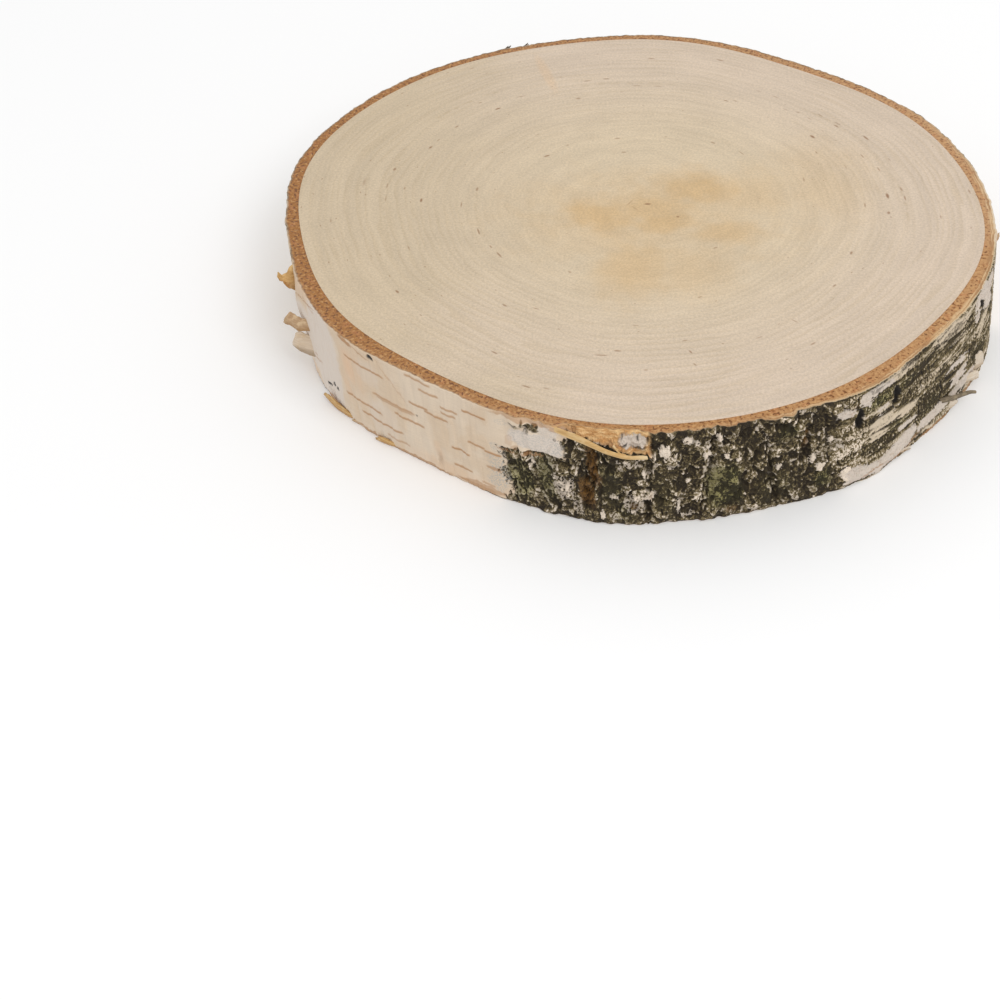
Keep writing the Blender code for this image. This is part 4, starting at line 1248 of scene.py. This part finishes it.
def makeBarkMaterial(paperGroup, sawnGroup):
    material, tree, shader = newMaterial("birchBark", 0.8)
    spot = readSpots(tree, "wallSpot")
    fine = noiseNode(tree, spot, 1.5, 3.0, 0.7)
    grit = noiseNode(tree, stretch(tree, spot, (1.0, 1.0, 1.0), (31.0, 7.0, 0.0)), 3.4, 1.0, 0.5)
    rough = readMask(tree, "rough")
    paintedHollowShade = readMask(tree, "paintedHollowShade")

    paper = placeGroup(tree, paperGroup, {"Spot": spot, "Warmth": readMask(tree, "layer")})
    peach = sums(tree, "MULTIPLY", readMask(tree, "peach"), 0.6)
    colour = blendColours(tree, peach, paper["Colour"], wallTints["peach"])

    # Plated and streaked bark: dark hollows with painted shade, crests with painted light, grey-brown flakes
    # and pale bits
    speckled, tone = readMask(tree, "speckled"), readMask(tree, "tone")
    tone = sums(tree, "MULTIPLY_ADD", sums(tree, "SUBTRACT", fine, 0.5), speckled, tone)
    tone = sums(tree, "MULTIPLY_ADD", sums(tree, "SUBTRACT", grit, 0.5), 0.6, tone)
    # Painted shade in the hollows of the relief and painted light on its crests
    tone = sums(tree, "MULTIPLY_ADD", sums(tree, "SUBTRACT", 0.5, paintedHollowShade), 0.42, tone)
    steps = ((0.0, "crack"), (0.26, "dark"), (0.52, "grey"), (0.85, "pale"))
    plated = colourSteps(tree, tone, [(place, wallTints[tint]) for place, tint in steps])
    mossTone = sums(tree, "MULTIPLY_ADD", fine, 0.7, sums(tree, "MULTIPLY", tone, 0.6))
    mossy = blendColours(tree, remap(tree, mossTone, 0.52, 0.74), wallTints["moss"], wallTints["mossLight"])
    mossCover = sums(tree, "MULTIPLY", readMask(tree, "moss"), remap(tree, fine, 0.32, 0.55, 0.6, 0.95))
    plated = blendColours(tree, mossCover, plated, mossy)
    cream = sums(tree, "MULTIPLY", readMask(tree, "cream"), remap(tree, tone, 0.05, 0.4, 0.5, 1.0))
    plated = blendColours(tree, cream, plated, wallTints["cream"])
    pale = sums(tree, "MULTIPLY_ADD", sums(tree, "SUBTRACT", fine, 0.5), 1.1, readMask(tree, "pale"))
    pale = sums(tree, "MULTIPLY", remap(tree, pale, 0.48, 0.68), 0.97)
    worn = blendColours(tree, remap(tree, grit, 0.2, 0.48), wallTints["worn"], wallTints["pale"])
    plated = blendColours(tree, pale, plated, worn)
    # The crack colour over fissures and flake gaps is partly the bark's own dark colour and partly painted
    # shade
    plated = blendColours(tree, readMask(tree, "crack"), plated, wallTints["crack"])
    colour = blendColours(tree, rough, colour, plated)

    speckle = sums(tree, "MULTIPLY_ADD", sums(tree, "SUBTRACT", grit, 0.5), 0.8, fine)
    speckle = remap(tree, speckle, 0.46, 0.58)
    darkCover = sums(tree, "MULTIPLY", readMask(tree, "dark"), remap(tree, fine, 0.40, 0.62, 1.0, 0.25))
    colour = blendColours(tree, darkCover, colour, wallTints["dark"])
    rusty = blendColours(tree, remap(tree, fine, 0.36, 0.62), wallTints["rustDeep"], wallTints["rust"])
    colour = blendColours(tree, readMask(tree, "rust"), colour, rusty)
    blotches = sums(tree, "MULTIPLY", noiseNode(tree, spot, 0.5, 2.0, 0.6), 0.5)
    blotched = sums(tree, "MULTIPLY_ADD", fine, 0.5, blotches)
    white = sums(tree, "MULTIPLY", readMask(tree, "white"), remap(tree, blotched, 0.30, 0.52, 0.72, 1.0))
    colour = blendColours(tree, white, colour, wallTints["white"])
    lichen = sums(tree, "MULTIPLY", readMask(tree, "lichen"), speckle)
    colour = blendColours(tree, lichen, colour, wallTints["lichen"])
    fibres = noiseNode(tree, stretch(tree, spot, (0.25, 1.8, 1.6)), 1.0, 3.0, 0.6)
    torn = blendColours(tree, remap(tree, fibres, 0.40, 0.60), wallTints["tornDeep"], wallTints["torn"])
    colour = blendColours(tree, readMask(tree, "torn"), colour, torn)
    colour = blendColours(tree, readMask(tree, "corky"), colour, wallTints["corky"])
    colour = blendColours(tree, readMask(tree, "black"), colour, wallTints["black"])

    cut = readMask(tree, "cut")
    sawnInputs = {"Spot": spot}
    for name, mask in (("Depth", "depth"), ("Inner", "inner"), ("Side", "side"), ("Layered", "layered")):
        sawnInputs[name] = readMask(tree, mask)
    sawn = placeGroup(tree, sawnGroup, sawnInputs)
    colour = blendColours(tree, cut, colour, sawn["Colour"])
    tree.links.new(colour, shader.inputs["Base Color"])

    tree.links.new(remap(tree, rough, 0.0, 1.0, 0.62, 0.92), shader.inputs["Roughness"])
    coarse = remap(tree, rough, 0.0, 1.0, 0.15, 3.0)
    roughHeight = sums(tree, "MULTIPLY", sums(tree, "ADD", fine, grit), coarse)
    paperHeight = sums(tree, "MULTIPLY", paper["Height"], remap(tree, rough, 0.0, 1.0, 0.5, 0.0))
    wallHeight = sums(tree, "ADD", roughHeight, paperHeight)
    wallHeight = sums(tree, "MULTIPLY", wallHeight, sums(tree, "SUBTRACT", 1.0, cut))
    height = sums(tree, "MULTIPLY_ADD", sums(tree, "MULTIPLY", sawn["Height"], cut), 1.6, wallHeight)
    tree.links.new(bumpNode(tree, height, 0.00012, 1.0), shader.inputs["Normal"])
    return material


# Start and end direction, and the cells round the trunk and up the wall
barkParts = {
    "platedBark": ((246.0, 300.0, 510, 156)),
    "streakedBark": ((300.0, 346.0, 510, 156)),
    "paperyBark": ((196.0, 246.0, 420, 150)),
    "backBark": ((-14.0, 196.0, 640, 90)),
}


def makeBark(name, start, end, columns, wallRows, material):
    topRows, innerRows, baseRows = 12, 1, 6
    rows = wallRows + topRows + innerRows + baseRows
    obj, along, across = addGrid(name, columns, rows)
    direction = start + (end - start) * along / columns

    # The section runs up the wall, in over the upper face, down inside and out under the slice
    onWall = across <= wallRows
    onTop = (across > wallRows) & (across <= wallRows + topRows)
    onBase = across > wallRows + topRows + innerRows - 1
    height = np.where(onWall, across / wallRows, 0.0) * thick
    height = np.where(onTop, thick, height)
    inward = np.zeros(direction.shape)
    inward = np.where(onTop, (across - wallRows) / topRows, inward)
    inward = np.where(onBase, 1.0 - (across - rows + baseRows) / baseRows, inward)

    raised, look = wallLook(direction, height)
    # Depth of each spot under its surroundings, kept for the painted shade in hollows
    look["paintedHollowShade"] = hollowsOf(raised, along, across, columns, rows, 2)
    inner = woodRadiusAt(direction)
    depth = barkThicknessAt(direction)
    outer = inner + depth + raised
    radius = outer + (inner - outer) * inward
    # The rim is broken a little, and the cut bark is slightly lower than the wood
    arc = arcAt(direction)
    rimWear = noiseAt(arc / 1.3, height / 3.0, 41.0)
    fuzz = noiseAt(arc / 0.8, radius / 0.8, 43.0)
    settle = smooth(inward / 0.15) * smooth((1.0 - inward) / 0.1)
    atRim = (across == wallRows) | (across == 0)
    lowered = np.where(onTop, 0.16 * settle + 0.12 * settle * fuzz, 0.0)
    lowered = lowered + np.where(onWall & (across == wallRows), 0.10 + 0.12 * rimWear, 0.0)
    radius = radius - np.where(atRim, 0.12 + 0.1 * rimWear, 0.0)
    placed = placeAt(direction, radius, height - np.clip(lowered, 0.0, 0.5))
    moveVertices(obj, placed)

    for kind, values in look.items():
        storeMask(obj, kind, values)
    storeMask(obj, "cut", np.where((inward > 0.0), 1.0, 0.0) * smooth(inward * depth / 0.45 - 0.2))
    storeMask(obj, "depth", inward * depth)
    storeMask(obj, "inner", (1.0 - inward) * depth)
    storeMask(obj, "side", 0.5 + 0.5 * np.cos(np.radians(direction)))
    storeMask(obj, "layered", np.interp((direction + 14.0) % 360.0 - 14.0, layerDirections, layerShares))
    storeSpots(obj, "wallSpot", np.stack([arc, height, inward * depth], axis=-1))
    closeUp(obj, True)
    finishPiece(obj, "bark", [material], 75.0)
    return obj


def makeWood(material):
    columns, rings, baseRings = 360, 110, 24
    rows = rings + baseRings + 1
    obj, along, across = addGrid("sawnWood", columns, rows)
    direction = 360.0 * along / columns
    onBase = across <= baseRings
    share = np.where(onBase, across / baseRings, (rows - across) / rings)
    height = np.where(onBase, 0.0, thick)
    mean = sliceShape["woodRadius"]
    radius = mean * share + (woodRadiusAt(direction) + sliceShape["rimCover"] - mean) * share**2
    places = placeAt(direction, radius, height)
    pith = np.array([*sliceShape["pith"], 0.0]) * mm
    places = places + pith * (1.0 - share)[:, None]
    moveVertices(obj, places)
    storeMask(obj, "ring", share * mean)
    uneven = share * mean + 0.5 * noiseAt(direction / 9.0, share * 12.0, 61.0)
    arcs = np.zeros(share.shape)
    for middle, turned, half, strength in arcTable:
        turn = np.abs((direction - turned + 180.0) % 360.0 - 180.0)
        within = smooth((half - turn) / (0.4 * half))
        arcs = np.maximum(arcs, strength * within * smooth((0.9 - np.abs(uneven - middle)) / 0.8))
    storeMask(obj, "arcs", arcs)
    stained = np.zeros(share.shape)
    x, y = places[:, 0] / mm, places[:, 1] / mm
    cloudy = 0.3 * noiseAt(x / 11.0, y / 11.0, 62.0) + 0.3 * noiseAt(x / 3.6, y / 3.6, 63.0)
    for middleX, middleY, wide, tall, strength in stainTable:
        far = np.hypot((x - middleX) / wide, (y - middleY) / tall) + cloudy
        stained = np.maximum(stained, strength * smooth((1.7 - far) / 1.6))
    storeMask(obj, "stain", stained)

    # Each spot knows its place beside the nearest dash, in half lengths and half widths
    table = np.array(dashTable)
    offX = x[:, None] - table[None, :, 0]
    offY = y[:, None] - table[None, :, 1]
    nearest = np.argmin(np.hypot(offX, offY), axis=1)
    pick = np.arange(nearest.size)
    offX, offY = offX[pick, nearest], offY[pick, nearest]
    turn = np.radians(table[nearest, 2])
    lengthwise = (offX * np.cos(turn) + offY * np.sin(turn)) / table[nearest, 3]
    sideways = (offY * np.cos(turn) - offX * np.sin(turn)) / table[nearest, 4]
    storeSpots(obj, "dashSpot", np.stack([lengthwise, sideways, np.zeros(x.shape)], axis=-1))
    columnOf, rowOf = along.astype(int), across.astype(int)
    owner = np.zeros((columnOf.max() + 1, rowOf.max() + 1), int)
    owner[columnOf, rowOf] = nearest
    alone = np.ones(owner.shape, bool)
    for stepAlong in (-1, 0, 1):
        for stepAcross in (-1, 0, 1):
            alone &= owner == np.roll(np.roll(owner, stepAlong, 0), stepAcross, 1)
    near = smooth((4.2 - np.hypot(offX, offY)) / 0.8) * alone[columnOf, rowOf]
    storeMask(obj, "dashes", table[nearest, 5] * near)
    angle = np.radians(direction)
    around = [np.zeros(angle.shape), mean * np.cos(angle), mean * np.sin(angle)]
    storeSpots(obj, "around", np.stack(around, axis=-1))
    closeUp(obj, False)
    finishPiece(obj, "wood", [material], 40.0)
    return obj


def makeStripMaterial(name, tints, roughness):
    # Torn bark: fine fibres along the strip, a tint of its own at its ends, and painted shade along its lower
    # edge
    material, tree, shader = newMaterial(name, roughness)
    spot = readSpots(tree, "stripSpot")
    fibres = noiseNode(tree, stretch(tree, spot, (0.25, 2.2, 1.0)), 1.0, 3.0, 0.65)
    blotches = noiseNode(tree, stretch(tree, spot, (0.35, 0.5, 1.0), (5.0, 2.0, 0.0)), 1.0, 2.0, 0.55)
    colour = blendColours(tree, remap(tree, fibres, 0.33, 0.67), tints[0], tints[1])
    blotched = sums(tree, "MULTIPLY", remap(tree, blotches, 0.5, 0.68), 0.8)
    colour = blendColours(tree, blotched, colour, tints[2])
    colour = blendColours(tree, sums(tree, "MULTIPLY", readMask(tree, "end"), 0.75), colour, tints[3])
    # Painted shade along the lower edge of the strip, paler on the splinter
    colour = blendColours(tree, sums(tree, "MULTIPLY", readMask(tree, "under"), 0.6), colour, tints[4])
    tree.links.new(colour, shader.inputs["Base Color"])
    dullness = remap(tree, fibres, 0.3, 0.7, roughness + 0.08, roughness - 0.06)
    tree.links.new(dullness, shader.inputs["Roughness"])
    tree.links.new(bumpNode(tree, fibres, 0.00022, 1.0), shader.inputs["Normal"])
    return material


# Fibres, lighter fibres, blotches, tip and lower edge, each as it shows on a screen; the darker lower edge is
# painted shade, and on the splinter the lower edge is paler
stripTints = {
    "gold": ((178, 134, 74), (206, 167, 108), (218, 188, 134), (182, 148, 94), (152, 100, 48)),
    "tan": ((172, 138, 104), (198, 166, 128), (214, 186, 148), (176, 148, 108), (150, 106, 52)),
    "paper": ((204, 182, 156), (218, 198, 174), (212, 186, 152), (204, 190, 176), (128, 104, 78)),
    "splinter": ((190, 148, 88), (208, 170, 112), (214, 182, 130), (222, 200, 158), (222, 190, 136)),
    "cream": ((200, 184, 162), (214, 200, 182), (208, 190, 166), (216, 204, 188), (172, 148, 118)),
    "grey": ((92, 80, 62), (132, 116, 92), (150, 134, 106), (150, 134, 108), (84, 72, 54)),
    "dark": ((78, 66, 52), (116, 98, 80), (140, 120, 98), (88, 70, 54), (60, 48, 36)),
}

# Strips that peel off the wall. A station is the direction, height and lift of the lower edge, then the
# same of the upper edge; a strip without stations runs straight from its root to its tip
peelTable = {
    "goldCurl": {
        "stations": (
            (199.5, 22.0, -1.0, 197.0, 29.8, -1.0),
            (199.3, 24.3, 1.8, 197.0, 29.9, 0.2),
            (199.0, 24.6, 2.8, 197.0, 28.6, 1.6),
            (198.6, 26.0, 3.7, 197.2, 27.4, 2.8),
            (198.0, 26.3, 4.6, 197.2, 27.4, 4.0),
            (197.6, 26.7, 5.3, 197.2, 28.3, 4.8),
        ),
        "front": "gold", "back": "paper", "ragged": 0.05, "cup": 0.3, "seed": 3.0,
    },
    "tanCurl": {
        "stations": (
            (206.0, 17.0, -1.0, 205.5, 21.0, -1.0),
            (204.5, 16.2, 2.0, 204.5, 20.1, 1.1),
            (203.5, 15.3, 3.3, 203.5, 20.1, 2.5),
            (202.5, 15.6, 4.3, 202.5, 20.2, 3.4),
            (202.0, 15.9, 5.1, 202.0, 20.2, 4.4),
            (201.0, 15.3, 6.2, 201.0, 17.8, 5.7),
        ),
        "front": "tan", "back": "gold", "ragged": 0.1, "cup": 0.8, "seed": 8.0,
    },
    "whiteFlap": {
        "stations": (
            (206.0, 7.5, -1.0, 204.5, 13.0, -1.0),
            (204.5, 7.1, 1.2, 203.5, 13.7, 1.4),
            (203.5, 7.1, 2.6, 203.0, 14.2, 2.7),
            (203.0, 7.6, 3.8, 202.5, 13.6, 3.8),
            (202.4, 7.9, 4.5, 202.0, 11.4, 4.5),
            (201.8, 8.3, 5.2, 201.6, 9.7, 5.0),
        ),
        "front": "paper", "back": "tan", "ragged": 0.08, "cup": 0.4, "seed": 14.0,
    },
    "lowShredLeft": {
        "stations": (
            (218.4, 0.1, -0.8, 218.0, 1.0, -0.8),
            (217.4, 0.1, 0.2, 216.8, 1.7, 0.2),
            (215.5, 0.1, 0.8, 215.3, 2.2, 0.7),
            (214.0, 0.1, 1.3, 213.8, 2.6, 1.1),
            (212.5, 0.6, 1.7, 212.6, 2.9, 1.5),
            (211.2, 1.2, 2.0, 211.7, 2.6, 1.8),
            (210.6, 1.6, 2.3, 210.9, 2.4, 2.2),
        ),
        "front": "gold", "back": "tan", "ragged": 0.12, "cup": 0.1, "seed": 21.0,
    },
    "lowShredMiddle": {
        "stations": (
            (229.0, 0.1, -0.6, 229.0, 0.8, -0.6),
            (227.6, 0.1, 0.3, 227.6, 1.5, 0.2),
            (226.2, 0.1, 0.8, 226.3, 1.8, 0.6),
            (225.0, 0.1, 1.1, 225.2, 1.5, 0.9),
            (224.2, 0.1, 1.3, 224.3, 1.0, 1.1),
        ),
        "front": "gold", "back": "tan", "ragged": 0.2, "cup": 0.1, "seed": 27.0,
    },
    "lowScrap": {
        "root": (221.5, 0.1, 1.6), "tip": (218.2, 0.1, 0.9), "lift": 0.9,
        "front": "tan", "back": "tan", "ragged": 0.2, "cup": 0.1, "seed": 29.0,
    },
    "splinter": {
        "stations": (
            (258.2, 28.4, -0.8, 258.2, 29.8, -0.8),
            (260.4, 27.9, 0.2, 260.5, 29.8, 0.2),
            (261.9, 27.5, 0.6, 261.9, 29.7, 0.6),
            (263.3, 26.8, 0.8, 263.3, 28.9, 0.8),
            (264.7, 25.9, 1.0, 264.7, 27.8, 1.0),
            (266.0, 25.0, 1.2, 266.1, 26.7, 1.2),
            (267.1, 24.4, 1.3, 267.1, 26.0, 1.3),
            (268.3, 23.8, 1.4, 268.4, 25.3, 1.4),
            (269.5, 23.6, 1.5, 269.6, 24.9, 1.5),
            (270.8, 23.5, 1.5, 270.8, 24.9, 1.5),
            (271.9, 23.5, 1.5, 271.9, 24.6, 1.5),
        ),
        "front": "splinter", "back": "splinter", "ragged": 0.02, "cup": 0.3, "seed": 31.0, "fray": 0.3,
    },
    "splinterFork": {
        "stations": (
            (268.9, 24.9, 1.5, 268.9, 25.1, 1.5),
            (268.1, 25.2, 1.4, 268.2, 25.6, 1.4),
            (267.6, 26.2, 1.2, 267.8, 26.6, 1.2),
            (267.1, 27.5, 0.9, 267.3, 27.9, 0.9),
        ),
        "front": "splinter", "back": "splinter", "ragged": 0.02, "cup": 0.05, "seed": 34.0, "fray": 0.2,
    },
    "sliver": {
        "stations": (
            (323.6, 5.2, -0.9, 323.6, 6.6, -0.9),
            (324.4, 5.2, 0.5, 324.2, 7.2, 0.5),
            (325.6, 4.9, 1.3, 325.2, 6.9, 1.2),
            (327.0, 4.4, 2.1, 326.6, 6.2, 2.0),
            (328.1, 4.4, 3.1, 327.7, 6.2, 3.0),
            (329.0, 4.4, 4.1, 328.6, 6.0, 4.0),
            (329.3, 4.7, 5.3, 329.2, 5.8, 5.2),
        ),
        "front": "grey", "back": "dark", "ragged": 0.02, "cup": 0.2, "seed": 37.0, "fray": 0.4,
    },
    "lowFlapRight": {
        "root": (309.0, 0.2, 2.2), "tip": (315.0, 0.2, 1.4), "lift": 0.8,
        "front": "cream", "back": "tan", "ragged": 0.3, "cup": 0.1, "seed": 43.0,
    },
    "flapHigh": {
        "stations": (
            (334.4, 3.8, -0.6, 334.2, 8.0, -0.6),
            (335.3, 4.2, 0.5, 335.2, 9.6, 0.5),
            (336.0, 4.4, 1.1, 335.9, 9.9, 1.1),
            (336.6, 4.7, 1.7, 336.2, 8.8, 1.7),
        ),
        "front": "cream", "back": "paper", "ragged": 0.1, "cup": 0.2, "seed": 47.0,
    },
    "flapLow": {
        "stations": (
            (331.8, 3.0, -0.6, 332.0, 4.9, -0.6),
            (332.8, 2.9, 0.5, 332.9, 5.7, 0.5),
            (333.9, 2.2, 1.1, 333.9, 5.4, 1.1),
            (334.7, 2.2, 1.7, 334.7, 4.5, 1.7),
        ),
        "front": "cream", "back": "tan", "ragged": 0.1, "cup": 0.2, "seed": 49.0,
    },
    "flapRim": {
        "stations": (
            (325.6, 0.5, -0.6, 325.4, 3.0, -0.6),
            (326.4, 0.9, 0.5, 326.3, 3.4, 0.5),
            (326.9, 1.5, 1.1, 326.8, 3.4, 1.1),
            (327.4, 2.2, 1.6, 327.5, 3.1, 1.6),
        ),
        "front": "cream", "back": "tan", "ragged": 0.1, "cup": 0.1, "seed": 53.0,
    },
    "backScrap": {
        "root": (116.6, 26.0, 29.8), "tip": (112.6, 27.0, 29.9), "lift": 2.9,
        "front": "dark", "back": "dark", "ragged": 0.4, "cup": 0.3, "seed": 51.0,
    },
    "backScrapSmall": {
        "root": (112.4, 25.0, 29.7), "tip": (109.0, 26.6, 29.9), "lift": 2.6,
        "front": "dark", "back": "dark", "ragged": 0.4, "cup": 0.2, "seed": 57.0,
    },
    "rightChip": {
        "root": (350.2, 25.5, 29.6), "tip": (353.4, 27.0, 28.8), "lift": 1.4,
        "front": "tan", "back": "tan", "ragged": 0.3, "cup": 0.2, "seed": 63.0,
    },
    "backFlap": {
        "root": (176.0, 4.0, 12.0), "tip": (183.0, 5.0, 9.5), "lift": 3.0,
        "front": "paper", "back": "gold", "ragged": 0.25, "cup": 0.5, "seed": 71.0,
    },
    "backShred": {
        "root": (131.0, 0.8, 6.0), "tip": (137.5, 1.0, 3.6), "lift": 2.2,
        "front": "tan", "back": "tan", "ragged": 0.3, "cup": 0.3, "seed": 77.0,
    },
}
peelBuild = {"cells": (40, 14), "sunk": 1.2, "bend": 1.6, "wall": 0.32, "fray": 0.3}


def plainStations(peel):
    (root, rootLow, rootHigh), (tip, tipLow, tipHigh) = peel["root"], peel["tip"]
    stations = []
    for share in (0.0, 0.2, 0.4, 0.6, 0.8, 1.0):
        direction = root + (tip - root) * share
        lift = (peel["lift"] + peelBuild["sunk"]) * share ** peelBuild["bend"] - peelBuild["sunk"]
        low = rootLow + (tipLow - rootLow) * share
        high = rootHigh + (tipHigh - rootHigh) * share
        stations.append((direction, low, lift, direction, high, lift))
    return stations


def alongStations(stations, reach):
    # A smooth run through the stations, with reach going from 0 at the first to 1 at the last
    table = np.array(stations)
    table = np.vstack([2.0 * table[0] - table[1], table, 2.0 * table[-1] - table[-2]])
    place = np.clip(reach, 0.0, 1.0 - 1e-9) * (len(stations) - 1)
    first = place.astype(int)
    t = (place - first)[:, None]
    before, start, end, after = (table[first + step] for step in range(4))
    bend = 2.0 * before - 5.0 * start + 4.0 * end - after
    turn = 3.0 * (start - end) + after - before
    return (0.5 * (2.0 * start + (end - before) * t + bend * t**2 + turn * t**3)).T


def makePeel(name, peel, materials):
    cellsAlong, cellsAcross = peelBuild["cells"]
    obj, alongIndex, acrossIndex = addGrid(name, cellsAlong, cellsAcross)
    along, across = alongIndex / cellsAlong, acrossIndex / cellsAcross
    seed = peel["seed"]
    wear = np.clip(0.5 + 1.3 * noiseAt(across * 5.0, across * 0.0, seed), 0.0, 1.0)
    wear = wear + 0.5 * noiseAt(across * 14.0, across * 0.0, seed + 1.0)
    reach = along * (1.0 - peel["ragged"] * wear)
    stations = peel.get("stations") or plainStations(peel)
    lowSide, low, lowLift, highSide, high, highLift = alongStations(stations, reach)
    frayed = peelBuild["fray"] * peel.get("fray", 1.0) * smooth(along / 0.4)
    low = low + frayed * noiseAt(reach * 7.0, reach * 0.0, seed + 2.0)
    high = high + frayed * noiseAt(reach * 7.0, reach * 0.0, seed + 3.0)
    height = np.clip(low + (high - low) * across, 0.1, thick - 0.1)
    direction = lowSide + (highSide - lowSide) * across
    lift = lowLift + (highLift - lowLift) * across
    lift = lift + peel["cup"] * smooth(reach / 0.5) * (1.0 - (2.0 * across - 1.0) ** 2)
    lift = lift + 0.3 * frayed * noiseAt(reach * 4.0, across * 3.0, seed + 4.0)
    moveVertices(obj, placeAt(direction, woodRadiusAt(direction) + barkThicknessAt(direction) + lift, height))
    turned = stations[-1][0] - stations[0][0]
    length = abs(arcAt(turned)) + stations[-1][2]
    storeSpots(obj, "stripSpot", np.stack([reach * length, height, np.full(reach.shape, seed)], axis=-1))
    storeMask(obj, "end", smooth((reach - 0.72) / 0.3))
    # The lower edge, where the strip's material paints shade
    storeMask(obj, "under", smooth((0.4 - across) / 0.3))
    onlySelect(obj)
    if turned < 0.0:
        bpy.ops.object.mode_set(mode="EDIT")
        bpy.ops.mesh.select_all(action="SELECT")
        bpy.ops.mesh.flip_normals()
        bpy.ops.object.mode_set(mode="OBJECT")
    wall = obj.modifiers.new("thickness", "SOLIDIFY")
    wall.thickness = peelBuild["wall"] * mm
    wall.offset = -1.0
    wall.material_offset = 1
    obj.data.materials.append(materials[peel["front"]])
    obj.data.materials.append(materials[peel["back"]])
    bpy.ops.object.modifier_apply(modifier=wall.name)
    bpy.ops.object.shade_smooth_by_angle(angle=math.radians(50.0))
    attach(obj, "root")
    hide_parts("bark")
    return obj


def makePeels():
    materials = {}
    for kind, colours in stripTints.items():
        roughness = 0.55 if kind in ("gold", "splinter") else 0.75
        materials[kind] = makeStripMaterial(kind + "Strip", [paint(*colour) for colour in colours], roughness)
    for name, peel in peelTable.items():
        makePeel(name, peel, materials)
    print(len(peelTable), "peels")


# Light, floor and camera
studio = {
    "worldStrength": 0.9,
    "keyPlace": (0.75, -0.95, 1.35),
    "keySize": 0.9,
    "keyPower": 9.0,
    "floorSize": 12.0,
    "floorDrop": 0.0003,
}
photoCamera = {
    "place": (-0.0029, -0.4904, 0.3513),
    "yaw": -4.764,
    "pitch": 41.725,
    "roll": -2.716,
    "lens": 70.26,
    "sensor": 36.0,
}


def makeStudio():
    scene = bpy.context.scene
    world = bpy.data.worlds.new("studio")
    world.use_nodes = True
    background = world.node_tree.nodes["Background"]
    background.inputs["Color"].default_value = (1.0, 1.0, 1.0, 1.0)
    background.inputs["Strength"].default_value = studio["worldStrength"]
    scene.world = world
    scene.view_settings.view_transform = "Standard"

    bpy.ops.object.light_add(type="AREA", location=studio["keyPlace"])
    key = bpy.context.object
    key.name = "keyLight"
    key.data.size = studio["keySize"]
    key.data.energy = studio["keyPower"]
    key.rotation_euler = Vector(studio["keyPlace"]).to_track_quat("Z", "Y").to_euler()

    bpy.ops.object.select_all(action="DESELECT")
    bpy.ops.mesh.primitive_plane_add(size=studio["floorSize"], location=(0.0, 0.0, -studio["floorDrop"]))
    floor = bpy.context.object
    floor.name = "floor"
    # The floor is seen and takes shadows, but lets the studio's light through from below
    floor.visible_diffuse = False
    floor.visible_glossy = False
    floor.visible_shadow = False
    material, tree, shader = newMaterial("paleFloor", 0.9)
    shader.inputs["Base Color"].default_value = (0.93, 0.93, 0.93, 1.0)
    shader.inputs["Specular IOR Level"].default_value = 0.0
    clear = tree.nodes.new("ShaderNodeBsdfTransparent")
    mix = tree.nodes.new("ShaderNodeMixShader")
    facing = tree.nodes.new("ShaderNodeNewGeometry")
    tree.links.new(facing.outputs["Backfacing"], mix.inputs[0])
    tree.links.new(shader.outputs[0], mix.inputs[1])
    tree.links.new(clear.outputs[0], mix.inputs[2])
    tree.links.new(mix.outputs[0], tree.nodes["Material Output"].inputs["Surface"])
    floor.data.materials.append(material)


def makeCamera():
    yaw, pitch, roll = (math.radians(photoCamera[key]) for key in ("yaw", "pitch", "roll"))
    forward = Vector((math.sin(yaw) * math.cos(pitch), math.cos(yaw) * math.cos(pitch), -math.sin(pitch)))
    level = Vector((math.cos(yaw), -math.sin(yaw), 0.0))
    upright = level.cross(forward)
    right = level * math.cos(roll) + upright * math.sin(roll)
    up = upright * math.cos(roll) - level * math.sin(roll)
    data = bpy.data.cameras.new("photoCamera")
    data.lens = photoCamera["lens"]
    data.sensor_width = photoCamera["sensor"]
    data.clip_start = 0.01
    camera = bpy.data.objects.new("photoCamera", data)
    bpy.context.scene.collection.objects.link(camera)
    turned = Matrix((right, up, -forward)).transposed().to_4x4()
    camera.matrix_world = Matrix.Translation(Vector(photoCamera["place"])) @ turned
    bpy.context.scene.camera = camera


makeCamera()
makeStudio()
print("camera, light and floor ready")
paperGroup = makePaperGroup()
sawnGroup = makeSawnBarkGroup()
woodMaterial = makeWoodMaterial()
barkMaterial = makeBarkMaterial(paperGroup, sawnGroup)
print("materials ready")
makeWood(woodMaterial)
for name, (start, end, columns, wallRows) in barkParts.items():
    makeBark(name, start, end, columns, wallRows, barkMaterial)
makePeels()
